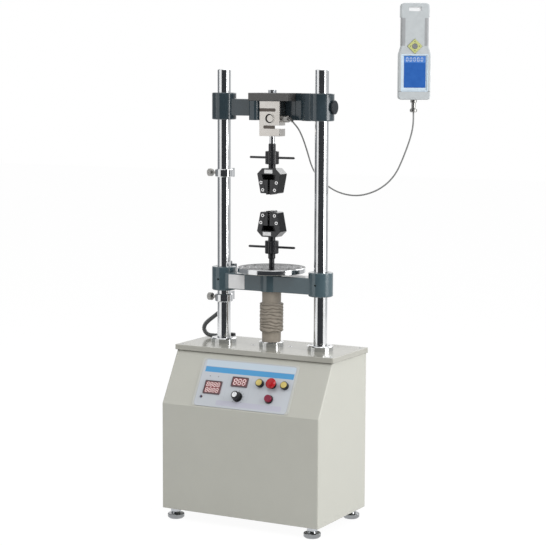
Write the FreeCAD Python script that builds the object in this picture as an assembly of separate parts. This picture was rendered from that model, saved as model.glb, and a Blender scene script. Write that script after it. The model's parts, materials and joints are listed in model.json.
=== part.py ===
import FreeCAD, Part
import math
import os
from FreeCAD import Placement, Rotation, Vector

# Motorised force test stand, millimetres, +Z up.
# The origin is on the floor under the middle of the cabinet; +Y points to the back.
os.makedirs("parts", exist_ok=True)

# Cabinet and deck
cabinet_width = 385.0
cabinet_depth = 227.0
underside = 24.0            # floor to the cabinet's underside
slope_foot = 257.5          # height at which the front starts to lean back
slope_setback = 64.0
sheet = 2.0
bend_radius = 3.0
ledge = 18.0                # folded ledge that carries the deck
vent_columns = 6
cover_sheet = 1.5
cover_screw = 1.9
shadow_gap = 1.2
step_inset = 3.0
deck_overhang = 3.5         # past the cabinet's sides
deck_lip = 5.0              # past its front and back
deck_thickness = 11.0
deck_top = 379.5

# Columns and their flanges
column_radius = 15.0
column_spacing = 241.2
column_height = 604.8       # above the deck
column_plane = 33.0         # distance of the columns and the test axis behind the origin
column_thread = 12.0
flange_radius = 28.5
flange_height = 11.0
screw_circle = 21.75

# Clearances
slide_fit = 0.05            # radial, shaft in a sliding or turning bore
free_gap = 0.3              # between faces that pass each other

# Moving crosshead, table and lead screw
boss_radius = 27.0
crosshead_low = 497.0
boss_height = 52.5
beam_low = 501.5
beam_height = 35.7
beam_depth = 44.0
bush_wall = 3.0
table_radius = 75.0
table_thickness = 11.0
table_spigot = 5.8
table_spigot_radius = 22.5
lead_screw_radius = 10.0
lead_screw_foot = 150.0
bellows_neck_radius = 21.0
bellows_fold_radius = 26.6
bellows_wall = 1.5
bellows_folds = 9
bellows_lower_neck = 20.5
bellows_upper_neck = 25.0

# Upper crosshead and load cell
upper_low = 874.5
upper_height = 59.0
neck_low = 883.5
neck_height = 36.5
plate_width = 98.0
plate_front = 12.0
plate_depth = 48.0
plate_thickness = 17.0
cheek_width = 22.0
web_thickness = 14.0
wing_hollow = 7.0           # depth of the sweep between web and right boss
cell_width = 50.8
cell_height = 76.2
cell_depth = 25.4
cell_hole = 10.0
cell_slot = 7.0
cell_web = 13.0             # solid end beyond each slot, from the middle line
stud_radius = 6.0
knob_head = 15.0

# Wedge grips
grip_height = 55.0
grip_top_half = 16.7
grip_shoulder_half = 28.9
grip_shoulder = 43.0
grip_mouth_half = 20.8
grip_depth = 31.0
upper_grip_mouth = 715.6
lower_grip_mouth = 676.0
wedge_angle = 14.0
jaw_gap = 5.0
jaw_length = 30.0
jaw_mouth_thickness = 4.6
cavity_height = 42.0
rear_wall = 3.0
tongue_width = 9.0
tongue_depth = 3.0
spindle_radius = 8.0
collar_radius = 15.0
collar_height = 28.6
collar_rise = 8.6           # neck between housing and collar
bar_radius = 2.6
bar_reach = 55.5
lower_bar_turn = -5.0

# Stop collars on the left column
stop_radius = 20.0
stop_height = 17.7
upper_stop_low = 748.0
lower_stop_low = 470.7
striker_width = 8.6
striker_spot = -123.5
lower_striker_lift = 1.0
upper_striker_drop = 2.0
plunger_reach = 6.0
gland_width = 14.0
gland_height = 15.0
thumb_radius = 8.5
thumb_length = 11.5
thumb_shank = 3.0

# Control panel, measured across and up the slope
panel_half = 119.0
panel_low = 3.5
panel_height = 111.0
panel_thickness = 1.0
panel_corner = 6.0
timer_spot = (42.0 - panel_half, 47.2)
timer_size = (42.0, 30.5)
speed_spot = (-14.3, 65.2)
speed_size = (39.5, 22.5)
display_rise = 2.2
button_spots = {"down_button": (panel_half - 83.0, 66.0), "up_button": (panel_half - 23.0, 66.0),
                "power_button": (panel_half - 53.0, 33.0)}
stop_spot = (panel_half - 53.0, 66.0)
button_radius = 7.0
button_rise = 10.6
power_radius = 7.9
power_rise = 10.0
stop_head_radius = 11.8
button_travel = 3.0
bezel_wall = 1.3
bezel_rise = 9.0
low_ring_rise = 3.2         # ring of the power and stop buttons
knob_spot = (-10.0, 31.0)
knob_radius = 11.0
knob_height = 18.5
lamp_spot = (19.5 - panel_half, 24.5)
lamp_radius = 3.2

# Levelling feet
foot_inset_x = 23.5
foot_inset_y = 19.5
foot_radius = 18.5
foot_thickness = 10.5
foot_stud = 6.0
foot_nut_height = 8.5

# Drive
thread_lead = 10.0
tooth_pitch = 10.0
driven_teeth = 30
motor_teeth = 10
belt_width = 16.0
belt_thickness = 3.0
pulley_low = 266.0
motor_spot = (-100.0, 14.0)
motor_radius = 42.0
motor_length = 96.0
housing_radius = 40.0
housing_length = 70.0

# Gauge and its cord
gauge_spot = (328.5, 45.0, 922.0)
gauge_turn = 28.5
gauge_half = 33.2
gauge_waist_half = 28.3
gauge_cap_half = 29.8
gauge_cap_low = 169.0
gauge_wide_height = 94.0
gauge_shoulder = 17.0
gauge_seam = 16.7
gauge_height = 199.0
gauge_depth = 34.0
key_spot = 110.3
key_reach = 15.4
key_radius = 5.4
cord_radius = 1.7
conduit_radius = 5.0

# Derived places
shell_top = deck_top - deck_thickness - shadow_gap
cabinet_front = -cabinet_depth / 2
slope_top = cabinet_front + slope_setback
deck_width = cabinet_width + 2 * deck_overhang
deck_front = slope_top - deck_lip
deck_depth = cabinet_depth / 2 + deck_lip - deck_front
column_top = deck_top + column_height
column_xs = (-column_spacing / 2, column_spacing / 2)
flange_top = deck_top + flange_height
table_top = beam_low + beam_height + table_spigot + table_thickness
upper_top = upper_low + upper_height
plate_low = upper_top - plate_thickness
cell_top = plate_low
cell_low = cell_top - cell_height
slope_length = math.hypot(slope_setback, shell_top - slope_foot)
slope_tilt = math.degrees(math.atan2(shell_top - slope_foot, slope_setback))
on_slope = Placement(Vector(0, cabinet_front, slope_foot), Rotation(Vector(1, 0, 0), slope_tilt))
on_gauge = Placement(Vector(*gauge_spot), Rotation(Vector(0, 0, 1), gauge_turn))
axis_base = Vector(0, column_plane, 0)
along_x = Vector(1, 0, 0)
along_y = Vector(0, 1, 0)
along_z = Vector(0, 0, 1)


def box(x0, x1, y0, y1, z0, z1):
    return Part.makeBox(x1 - x0, y1 - y0, z1 - z0, Vector(x0, y0, z0))


def rod(radius, start, axis, length):
    return Part.makeCylinder(radius, length, start, axis)


def post(radius, x, y, z0, z1):
    return Part.makeCylinder(radius, z1 - z0, Vector(x, y, z0))


def pipe(outer, inner, x, y, z0, z1):
    return post(outer, x, y, z0, z1).cut(post(inner, x, y, z0, z1))


def turned(profile, x=0.0, y=0.0):
    # profile is a closed list of (radius, height)
    points = [Vector(x + r, y, z) for r, z in profile]
    face = Part.Face(Part.makePolygon(points + points[:1]))
    return face.revolve(Vector(x, y, 0), along_z, 360)


def prism(points, direction):
    return Part.Face(Part.makePolygon(list(points) + [points[0]])).extrude(direction)


def rounded_plate(width, depth, height, corner, x=0.0, y=0.0, z=0.0):
    # upright block centred on (x, y) with round vertical corners
    block = box(x - width / 2, x + width / 2, y - depth / 2, y + depth / 2, z, z + height)
    return block.makeFillet(corner, upright_edges(block))


def upright_edges(shape):
    return [e for e in shape.Edges if abs(e.Vertexes[0].Z - e.Vertexes[-1].Z) > 0.9 * e.Length > 0]


def level_edges(shape, height):
    return [e for e in shape.Edges if all(abs(v.Z - height) < 1e-6 for v in e.Vertexes)]


def hexagon(across_flats, x, y, z0, z1):
    reach = across_flats / math.sqrt(3)
    corners = [Vector(x + reach * math.cos(math.radians(60 * k)),
                      y + reach * math.sin(math.radians(60 * k)), z0) for k in range(6)]
    return prism(corners, Vector(0, 0, z1 - z0))


def ring_of(count, radius, x=0.0, y=0.0, z=0.0, start=0.0):
    angles = [math.radians(start + 360.0 * k / count) for k in range(count)]
    return [Vector(x + radius * math.cos(a), y + radius * math.sin(a), z) for a in angles]


def cap_screw(head_radius, head_height, shank_radius, shank_length):
    # head sits on z = 0, socket open to the top, shank points down
    head = Part.makeCylinder(head_radius, head_height)
    socket = hexagon(head_radius, 0, 0, head_height * 0.4, head_height)
    shank = Part.makeCylinder(shank_radius, shank_length, Vector(0, 0, -shank_length))
    return head.cut(socket).fuse(shank).removeSplitter()


def moved(shape, placement):
    copy = shape.copy()
    copy.Placement = placement.multiply(copy.Placement)
    return copy


def aimed(shape, origin, axis):
    # turns a shape made along +Z so that it points along axis from origin
    return moved(shape, Placement(origin, Rotation(along_z, axis)))


def save(node, *solids):
    shape = solids[0] if len(solids) == 1 else Part.makeCompound(list(solids))
    shape.exportStep("parts/" + node + ".step")


def inset_profile(points, distance):
    # moves each side of a closed convex outline inwards, clockwise or not
    count = len(points)
    area = sum(points[i][0] * points[(i + 1) % count][1] - points[(i + 1) % count][0] * points[i][1]
               for i in range(count))
    side = 1 if area > 0 else -1
    lines = []
    for i in range(count):
        (a, b), (c, d) = points[i], points[(i + 1) % count]
        length = math.hypot(c - a, d - b)
        nx, ny = -side * (d - b) / length, side * (c - a) / length
        lines.append((a + nx * distance, b + ny * distance, c - a, d - b))
    inner = []
    for i in range(count):
        x1, y1, dx1, dy1 = lines[i - 1]
        x2, y2, dx2, dy2 = lines[i]
        t = ((x2 - x1) * dy2 - (y2 - y1) * dx2) / (dx1 * dy2 - dy1 * dx2)
        inner.append((x1 + dx1 * t, y1 + dy1 * t))
    return inner


def rounded_route(points):
    # straight runs joined by arcs as large as the two runs allow
    edges = []
    radii = []
    start = points[0]
    for before, corner, after in zip(points, points[1:], points[2:]):
        into = (corner - before).normalize()
        out = (after - corner).normalize()
        turn = into.getAngle(out)
        reach = 0.45 * min((corner - before).Length, (after - corner).Length)
        radii.append(reach / math.tan(turn / 2))
        first = corner - into * reach
        last = corner + out * reach
        bisector = (out - into).normalize()
        middle = corner + bisector * (radii[-1] / math.cos(turn / 2) - radii[-1])
        edges.append(Part.LineSegment(start, first).toShape())
        edges.append(Part.Arc(first, middle, last).toShape())
        start = last
    edges.append(Part.LineSegment(start, points[-1]).toShape())
    return Part.Wire(edges), radii


def cord_tube(name, points, radius):
    route, radii = rounded_route([Vector(*p) for p in points])
    start = route.Edges[0]
    circle = Part.makeCircle(radius, start.Vertexes[0].Point, start.tangentAt(start.FirstParameter))
    tube = route.makePipeShell([Part.Wire([circle])], True, False)
    section = math.pi * radius ** 2
    print(name, "length", round(route.Length, 1), "least radius", round(min(radii), 1),
          "volume ratio", round(tube.Volume / (section * route.Length), 4))
    return tube


def belt_loop(x1, y1, r1, x2, y2, r2, z0, z1):
    # solid bounded by two circles and their outer tangents
    span = math.hypot(x2 - x1, y2 - y1)
    heading = math.atan2(y2 - y1, x2 - x1)
    swing = math.acos((r1 - r2) / span)

    def rim(x, y, r, angle):
        return Vector(x + r * math.cos(angle), y + r * math.sin(angle), z0)

    a = rim(x1, y1, r1, heading + swing)
    b = rim(x1, y1, r1, heading + math.pi)
    c = rim(x1, y1, r1, heading - swing)
    d = rim(x2, y2, r2, heading - swing)
    e = rim(x2, y2, r2, heading)
    f = rim(x2, y2, r2, heading + swing)
    sides = [Part.Arc(a, b, c), Part.LineSegment(c, d), Part.Arc(d, e, f), Part.LineSegment(f, a)]
    return Part.Face(Part.Wire([s.toShape() for s in sides])).extrude(Vector(0, 0, z1 - z0))


def toothed_pulley(teeth, x, y, z0, z1, bore):
    # trapezoid teeth on the pitch circle, with a flange each side
    pitch_radius = teeth * tooth_pitch / (2 * math.pi)
    tip = pitch_radius - 0.9
    root = tip - 2.5
    corners = []
    for k in range(teeth):
        middle = 2 * math.pi * k / teeth
        for radius, share in ((root, -0.30), (tip, -0.20), (tip, 0.20), (root, 0.30)):
            angle = middle + share * 2 * math.pi / teeth
            corners.append(Vector(x + radius * math.cos(angle), y + radius * math.sin(angle), z0))
    rim = tip + belt_thickness + 2.0
    body = prism(corners, Vector(0, 0, z1 - z0))
    flanges = [post(rim, x, y, z0 - 1.5, z0), post(rim, x, y, z1, z1 + 1.5)]
    return body.fuse(flanges).cut(post(bore, x, y, z0 - 2, z1 + 2)).removeSplitter()


def cabinet_outline():
    back = cabinet_depth / 2
    return [(cabinet_front, underside), (back, underside), (back, shell_top),
            (slope_top, shell_top), (cabinet_front, slope_foot)]


def across_cabinet(outline, half_width):
    points = [Vector(-half_width, y, z) for y, z in outline]
    return prism(points, Vector(2 * half_width, 0, 0))


def panel_cutter(spots, radius, depth):
    return [moved(rod(radius, Vector(u, v, -depth), along_z, 2 * depth), on_slope) for u, v in spots]


def panel_window(spot, size, clearance, depth):
    u, v = spot
    half_u, half_v = size[0] / 2 + clearance, size[1] / 2 + clearance
    return moved(box(u - half_u, u + half_u, v - half_v, v + half_v, -depth, depth), on_slope)


def panel_cutouts():
    depth = 12.0
    cuts = panel_cutter(button_spots.values(), button_radius - 2.0, depth)
    cuts += panel_cutter([stop_spot], button_radius - 2.0, depth)
    cuts += panel_cutter([knob_spot], 5.0, depth)
    cuts += panel_cutter([lamp_spot], lamp_radius - 0.8, depth)
    cuts += [panel_window(timer_spot, timer_size, -3.0, depth), panel_window(speed_spot, speed_size, -3.0, depth)]
    return cuts


def foot_spots():
    x = cabinet_width / 2 - foot_inset_x
    y = cabinet_depth / 2 - foot_inset_y
    return {"foot_front_left": (-x, -y), "foot_front_right": (x, -y),
            "foot_rear_left": (-x, y), "foot_rear_right": (x, y)}


def make_cabinet():
    outer = across_cabinet(cabinet_outline(), cabinet_width / 2)
    folds = [e for e in outer.Edges
             if abs(e.CenterOfMass.x) < 1e-6 and e.CenterOfMass.y < 0 and e.CenterOfMass.z > underside + 1]
    sides = [e for e in outer.Edges if abs(e.CenterOfMass.x) > 1 and e.CenterOfMass.y < slope_top
             and e.CenterOfMass.z > underside + 1]
    outer = outer.makeFillet(bend_radius, folds + sides)
    inner = across_cabinet(inset_profile(cabinet_outline(), sheet), cabinet_width / 2 - sheet)
    back = cabinet_depth / 2
    side = cabinet_width / 2 - ledge
    mouth = box(-side, side, back - 2 * sheet, back + 1, underside + ledge, shell_top - ledge)
    hatch = box(-side, side, slope_top + ledge, back - ledge, shell_top - 2 * sheet, shell_top + 1)
    floor_holes = [post(foot_stud + 0.5, x, y, underside - 1, underside + 2 * sheet)
                   for x, y in foot_spots().values()]
    for column in range(vent_columns):
        for row in range(3):
            x = -15.0 * (vent_columns - 1) + 30.0 * column
            y = -75.0 + 14.0 * row
            floor_holes.append(box(x - 9, x + 9, y - 2, y + 2, underside - 1, underside + 2 * sheet))
    # rear cover with pressed louvres and the inlet's window
    x1 = cabinet_width / 2 - 6.0
    cover_low, cover_high = underside + 6.0, shell_top - 4.0
    screw_spots = [Vector(x, back + cover_sheet, z) for x in (-x1 + 8, 0, x1 - 8)
                   for z in (cover_low + 8, cover_high - 8)]
    screw_holes = [rod(cover_screw, spot, along_y * -1, 12.0) for spot in screw_spots]
    cover = rounded_plate(2 * x1, cover_high - cover_low, cover_sheet, 5.0)
    cover = moved(cover, Placement(Vector(0, back + cover_sheet, (cover_low + cover_high) / 2),
                                   Rotation(along_x, 90)))
    slots, hoods = [], []
    for column in (-1, 1):
        for row in range(8):
            x, z = column * 70.0, 200.0 + 15.0 * row
            slots.append(box(x - 30, x + 30, back - 1, back + 5, z, z + 4))
            face = back + cover_sheet
            lip = [Vector(x - 31, face, z + 7), Vector(x - 31, face + 2.5, z + 2), Vector(x - 31, face, z + 2)]
            hood = prism(lip, Vector(62, 0, 0))
            hoods.append(hood)
    slots.append(box(*inlet_window(back)))
    save("rear_cover", cover.fuse(hoods).cut(slots + screw_holes))
    save("cabinet_shell", outer.cut([inner, mouth, hatch] + panel_cutouts() + floor_holes + screw_holes))

    # screws of the rear cover and of the deck
    screws = [aimed(cap_screw(3.6, 2.4, cover_screw, sheet + cover_sheet), spot, along_y) for spot in screw_spots]
    for x, y in deck_screw_spots():
        screws.append(post(4.6, x, y, deck_top - 3.0, deck_top).cut(
            hexagon(4.0, x, y, deck_top - 2.2, deck_top)))
    fasteners.extend(screws)

    deck = rounded_plate(deck_width, deck_depth, deck_thickness, 4.0, 0, deck_front + deck_depth / 2,
                         deck_top - deck_thickness)
    deck = deck.makeFillet(1.2, level_edges(deck, deck_top))
    under, over = deck_top - deck_thickness - 2, deck_top + 1
    holes = [post(column_radius, x, column_plane, under, over) for x in column_xs]
    holes += [post(lead_screw_radius + 1.5, 0, column_plane, under, over)]
    holes += [post(4.6, x, y, deck_top - 3.0, deck_top + 1) for x, y in deck_screw_spots()]
    holes += [post(4.0, *deck_gland_spot(), under, over)]
    # register step that leaves a shadow gap over the shell
    step = box(-cabinet_width / 2 + step_inset, cabinet_width / 2 - step_inset, slope_top + step_inset,
               back - step_inset, shell_top, deck_top - deck_thickness)
    step = step.cut(box(-side, side, slope_top + ledge, back - ledge, shell_top - 1, deck_top))
    save("top_plate", deck.fuse(step).cut(holes))


def inlet_window(back):
    return 95.0, 145.0, back - 3, back + 6, 60.0, 108.0


def deck_screw_spots():
    x1 = deck_width / 2 - 13
    y0, y1 = deck_front + 13, deck_front + deck_depth - 17
    return [(-x1, y0), (x1, y0), (-x1, y1), (x1, y1), (-40.0, 23.5), (40.0, 45.5)]


def deck_gland_spot():
    return -126.0, column_plane + flange_radius + 1.0 + gland_width / 2


def make_columns():
    base = deck_top - deck_thickness
    for name, x in zip(("left_column", "right_column"), column_xs):
        profile = [(0, base - 34), (column_thread, base - 34), (column_thread, base), (column_radius, base),
                   (column_radius, column_top - 1.5), (column_radius - 1.5, column_top), (0, column_top)]
        save(name, turned(profile, x, column_plane))
    nuts = []
    for x in column_xs:
        nut = hexagon(36.0, x, column_plane, base - 21, base - 3)
        washer = post(22.0, x, column_plane, base - 3, base)
        nuts.append(nut.fuse(washer).cut(post(column_thread, x, column_plane, base - 22, base + 1)))
    fasteners.extend(nuts)

    screws, flanges = [], []
    for x in column_xs:
        spots = ring_of(4, screw_circle, x, column_plane, deck_top)
        flange = turned([(column_radius, deck_top), (flange_radius, deck_top),
                         (flange_radius, flange_top - 2.0), (flange_radius - 2.0, flange_top),
                         (column_radius, flange_top)], x, column_plane)
        head_seat = flange_top - 5.0
        flange = flange.cut([post(4.6, s.x, s.y, head_seat, flange_top + 1) for s in spots]
                            + [post(2.5, s.x, s.y, deck_top - 1, flange_top) for s in spots])
        flanges.append(flange)
        screw = cap_screw(4.25, 4.6, 2.5, head_seat - deck_top)
        screws += [moved(screw, Placement(Vector(s.x, s.y, head_seat), Rotation())) for s in spots]

    radius = bellows_fold_radius + 0.9
    bore = lead_screw_radius + slide_fit
    spots = ring_of(3, 24.3, 0, column_plane, deck_top, 0)
    flange = turned([(bore, deck_top), (radius, deck_top), (radius, flange_top - 1.5),
                     (radius - 1.5, flange_top), (bore, flange_top)], 0, column_plane)
    seat = flange_top - 3.2
    flange = flange.cut([post(2.9, s.x, s.y, seat, flange_top + 1) for s in spots]
                        + [post(1.5, s.x, s.y, deck_top - 1, flange_top) for s in spots])
    flanges.append(flange)
    save("deck_flanges", *flanges)
    screw = cap_screw(2.7, 2.9, 1.5, seat - deck_top)
    screws += [moved(screw, Placement(Vector(s.x, s.y, seat), Rotation())) for s in spots]
    fasteners.extend(screws)


def make_bellows():
    low = flange_top
    high = beam_low
    fold_low = low + bellows_lower_neck
    fold_high = high - bellows_upper_neck
    pitch = (fold_high - fold_low) / bellows_folds
    valley = bellows_neck_radius + 1.0
    outer = [(bellows_neck_radius, low), (bellows_neck_radius, fold_low), (valley, fold_low)]
    for k in range(bellows_folds):
        outer.append((bellows_fold_radius, fold_low + (k + 0.5) * pitch))
        outer.append((valley, fold_low + (k + 1) * pitch))
    outer += [(bellows_neck_radius, fold_high), (bellows_neck_radius, high)]
    bore = bellows_neck_radius - bellows_wall
    profile = outer + [(bore, high), (bore, low)]
    save("bellows", turned(profile, 0, column_plane))


def make_drive():
    base = deck_top - deck_thickness
    bearing_outer, bearing_inner, bearing_width = 31.0, 15.0, 16.0
    bearing_heights = (base - 6 - bearing_width, base - housing_length)
    # bearing housing hangs under the deck
    housing = post(housing_radius, 0, column_plane, base - housing_length, base)
    housing = housing.fuse(post(housing_radius + 12, 0, column_plane, base - 10, base))
    bore = turned([(0, base - housing_length - 1), (bearing_outer, base - housing_length - 1),
                   (bearing_outer, base - 6), (lead_screw_radius + 2, base - 6),
                   (lead_screw_radius + 2, base + 1), (0, base + 1)], 0, column_plane)
    bolt_spots = ring_of(6, housing_radius + 6.5, 0, column_plane, 0, 30)
    housing = housing.cut([bore] + [post(3.0, s.x, s.y, base - 11, base + 1) for s in bolt_spots])
    bolts = [post(5.0, s.x, s.y, base - 16, base - 10).fuse(post(3.0, s.x, s.y, base - 10, base))
             for s in bolt_spots]
    save("bearing_housing", housing.fuse(bolts).removeSplitter())
    rings = []
    for low in bearing_heights:
        profile = [(bearing_inner + slide_fit, low), (bearing_inner + 5, low), (bearing_inner + 5, low + 1.5),
                   (bearing_outer - 5, low + 1.5), (bearing_outer - 5, low), (bearing_outer, low),
                   (bearing_outer, low + bearing_width), (bearing_inner + slide_fit, low + bearing_width)]
        rings.append(turned(profile, 0, column_plane))
    save("nut_bearings", *rings)

    nut_low = pulley_low - 8
    nut_high = base - 6 - free_gap
    thread_bore = lead_screw_radius + slide_fit
    shoulder_low = bearing_heights[1] + bearing_width + free_gap
    shoulder_high = bearing_heights[0] - free_gap
    nut = turned([(thread_bore, nut_low), (bearing_inner, nut_low), (bearing_inner, shoulder_low),
                  (bearing_inner + 4, shoulder_low), (bearing_inner + 4, shoulder_high),
                  (bearing_inner, shoulder_high), (bearing_inner, nut_high), (thread_bore, nut_high)],
                 0, column_plane)
    pulley_high = pulley_low + belt_width + 1.0
    pulley = toothed_pulley(driven_teeth, 0, column_plane, pulley_low, pulley_high, bearing_inner)
    save("drive_nut", nut.fuse(pulley))

    mx, my = motor_spot
    shaft = 5.0
    save("motor_pulley", toothed_pulley(motor_teeth, mx, my, pulley_low, pulley_high, shaft)
         .fuse(post(shaft, mx, my, pulley_low - 22, pulley_high + 3)))
    pitch = tooth_pitch / (2 * math.pi)
    big = driven_teeth * pitch - 0.9 + 0.2
    small = motor_teeth * pitch - 0.9 + 0.2
    belt_low = pulley_low + 0.5
    belt_high = belt_low + belt_width
    inner = belt_loop(0, column_plane, big, mx, my, small, belt_low, belt_high)
    outer = belt_loop(0, column_plane, big + belt_thickness, mx, my, small + belt_thickness, belt_low, belt_high)
    save("drive_belt", outer.cut(inner))

    # gear motor hangs from a bridge bracket that stands on the floor tray
    plate_high = pulley_low - 6
    plate_low_face = plate_high - 6
    floor = underside + sheet
    half_x, half_y = motor_radius + 8, motor_radius + 3
    plate = box(mx - half_x, mx + half_x, my - half_y, my + half_y, plate_low_face, plate_high)
    legs = [box(mx + s * (half_x - 3) - 3, mx + s * (half_x - 3) + 3, my - half_y, my + half_y,
                floor, plate_low_face) for s in (-1, 1)]
    feet = [box(mx + s * (half_x - 3) - 9, mx + s * (half_x - 3) + 9, my - half_y, my + half_y,
                floor, floor + 6) for s in (-1, 1)]
    windows = box(mx - half_x - 10, mx + half_x + 10, my - half_y + 14, my + half_y - 14,
                  floor + 30, plate_low_face - 20)
    bracket = plate.fuse(legs + feet).cut([post(shaft + 6, mx, my, plate_low_face - 1, plate_high + 1), windows])
    save("motor_bracket", bracket.removeSplitter())
    gearbox_low = plate_low_face - 46
    gearbox = rounded_plate(2 * motor_radius - 4, 2 * motor_radius - 4, 46, 8.0, mx, my, gearbox_low)
    barrel = post(motor_radius - 5, mx, my, gearbox_low - motor_length, gearbox_low)
    fan_cover = post(motor_radius - 3, mx, my, gearbox_low - motor_length - 26, gearbox_low - motor_length)
    fan_cover = fan_cover.makeChamfer(5.0, level_edges(fan_cover, gearbox_low - motor_length - 26))
    ribs = [box(mx - 1.5, mx + 1.5, my - motor_radius + 2, my + motor_radius - 2,
                gearbox_low - motor_length + 6, gearbox_low - 6)]
    ribs = [moved(ribs[0], Placement(Vector(0, 0, 0), Rotation(along_z, a), Vector(mx, my, 0)))
            for a in range(0, 180, 30)]
    motor = gearbox.fuse([barrel, fan_cover] + ribs)
    bore = post(shaft + slide_fit, mx, my, plate_low_face - 20, plate_high)
    save("drive_motor", motor.cut(bore))


def make_electronics():
    floor = underside + sheet
    # speed controller board on posts
    x0, x1, y0, y1 = 45.0, 165.0, -80.0, 10.0
    top = floor + 12
    board = box(x0, x1, y0, y1, top, top + 1.6)
    parts = [post(3.0, x, y, floor, top) for x in (x0 + 6, x1 - 6) for y in (y0 + 6, y1 - 6)]
    face = top + 1.6
    parts += [box(x0 + 4, x0 + 44, y0 + 14, y0 + 50, face, face + 30)]
    parts += [post(8.0, x0 + 62 + 19 * k, y0 + 24, face, face + 32) for k in range(3)]
    parts += [box(x0 + 14 + 11 * k, x0 + 23 + 11 * k, y1 - 14, y1 - 2, face, face + 11) for k in range(9)]
    parts += [box(x1 - 46 + 7 * k, x1 - 43 + 7 * k, y0 + 40, y0 + 66, face + 4, face + 26) for k in range(6)]
    parts += [box(x1 - 46, x1 - 8, y0 + 40, y0 + 66, face, face + 4)]
    board = board.fuse(parts)
    # closed supply with a vented lid
    back = cabinet_depth / 2
    case = box(60.0, 159.0, back - 83.5, back - 31.5, floor, floor + 40)
    grille = [box(66.0 + 9 * k, 70.0 + 9 * k, back - 75.5, back - 39.5, floor + 38.5, floor + 41) for k in range(10)]
    save("control_electronics", board, case.cut(grille))
    # mains inlet with its pins, seated in the rear cover
    wx0, wx1, wy0, wy1, wz0, wz1 = inlet_window(back)
    body = box(wx0, wx1, back - 24, back + cover_sheet, wz0, wz1)
    rim = box(wx0 - 4, wx1 + 4, back + cover_sheet, back + 4.0, wz0 - 4, wz1 + 4)
    middle = (wx0 + wx1) / 2
    recess = box(middle - 12, middle + 12, back - 14, back + 5, wz0 + 8, wz0 + 26)
    fuse_seat = box(middle - 12, middle + 12, back + 1, back + 5, wz0 + 32, wz0 + 41)
    inlet = body.fuse(rim).cut([recess, fuse_seat])
    pins = [box(middle + dx - 1, middle + dx + 1, back - 14, back - 3.5, wz0 + dz - 2, wz0 + dz + 2)
            for dx, dz in ((-6.5, 14), (6.5, 14), (0, 20))]
    save("power_inlet", inlet.fuse(pins))


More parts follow.
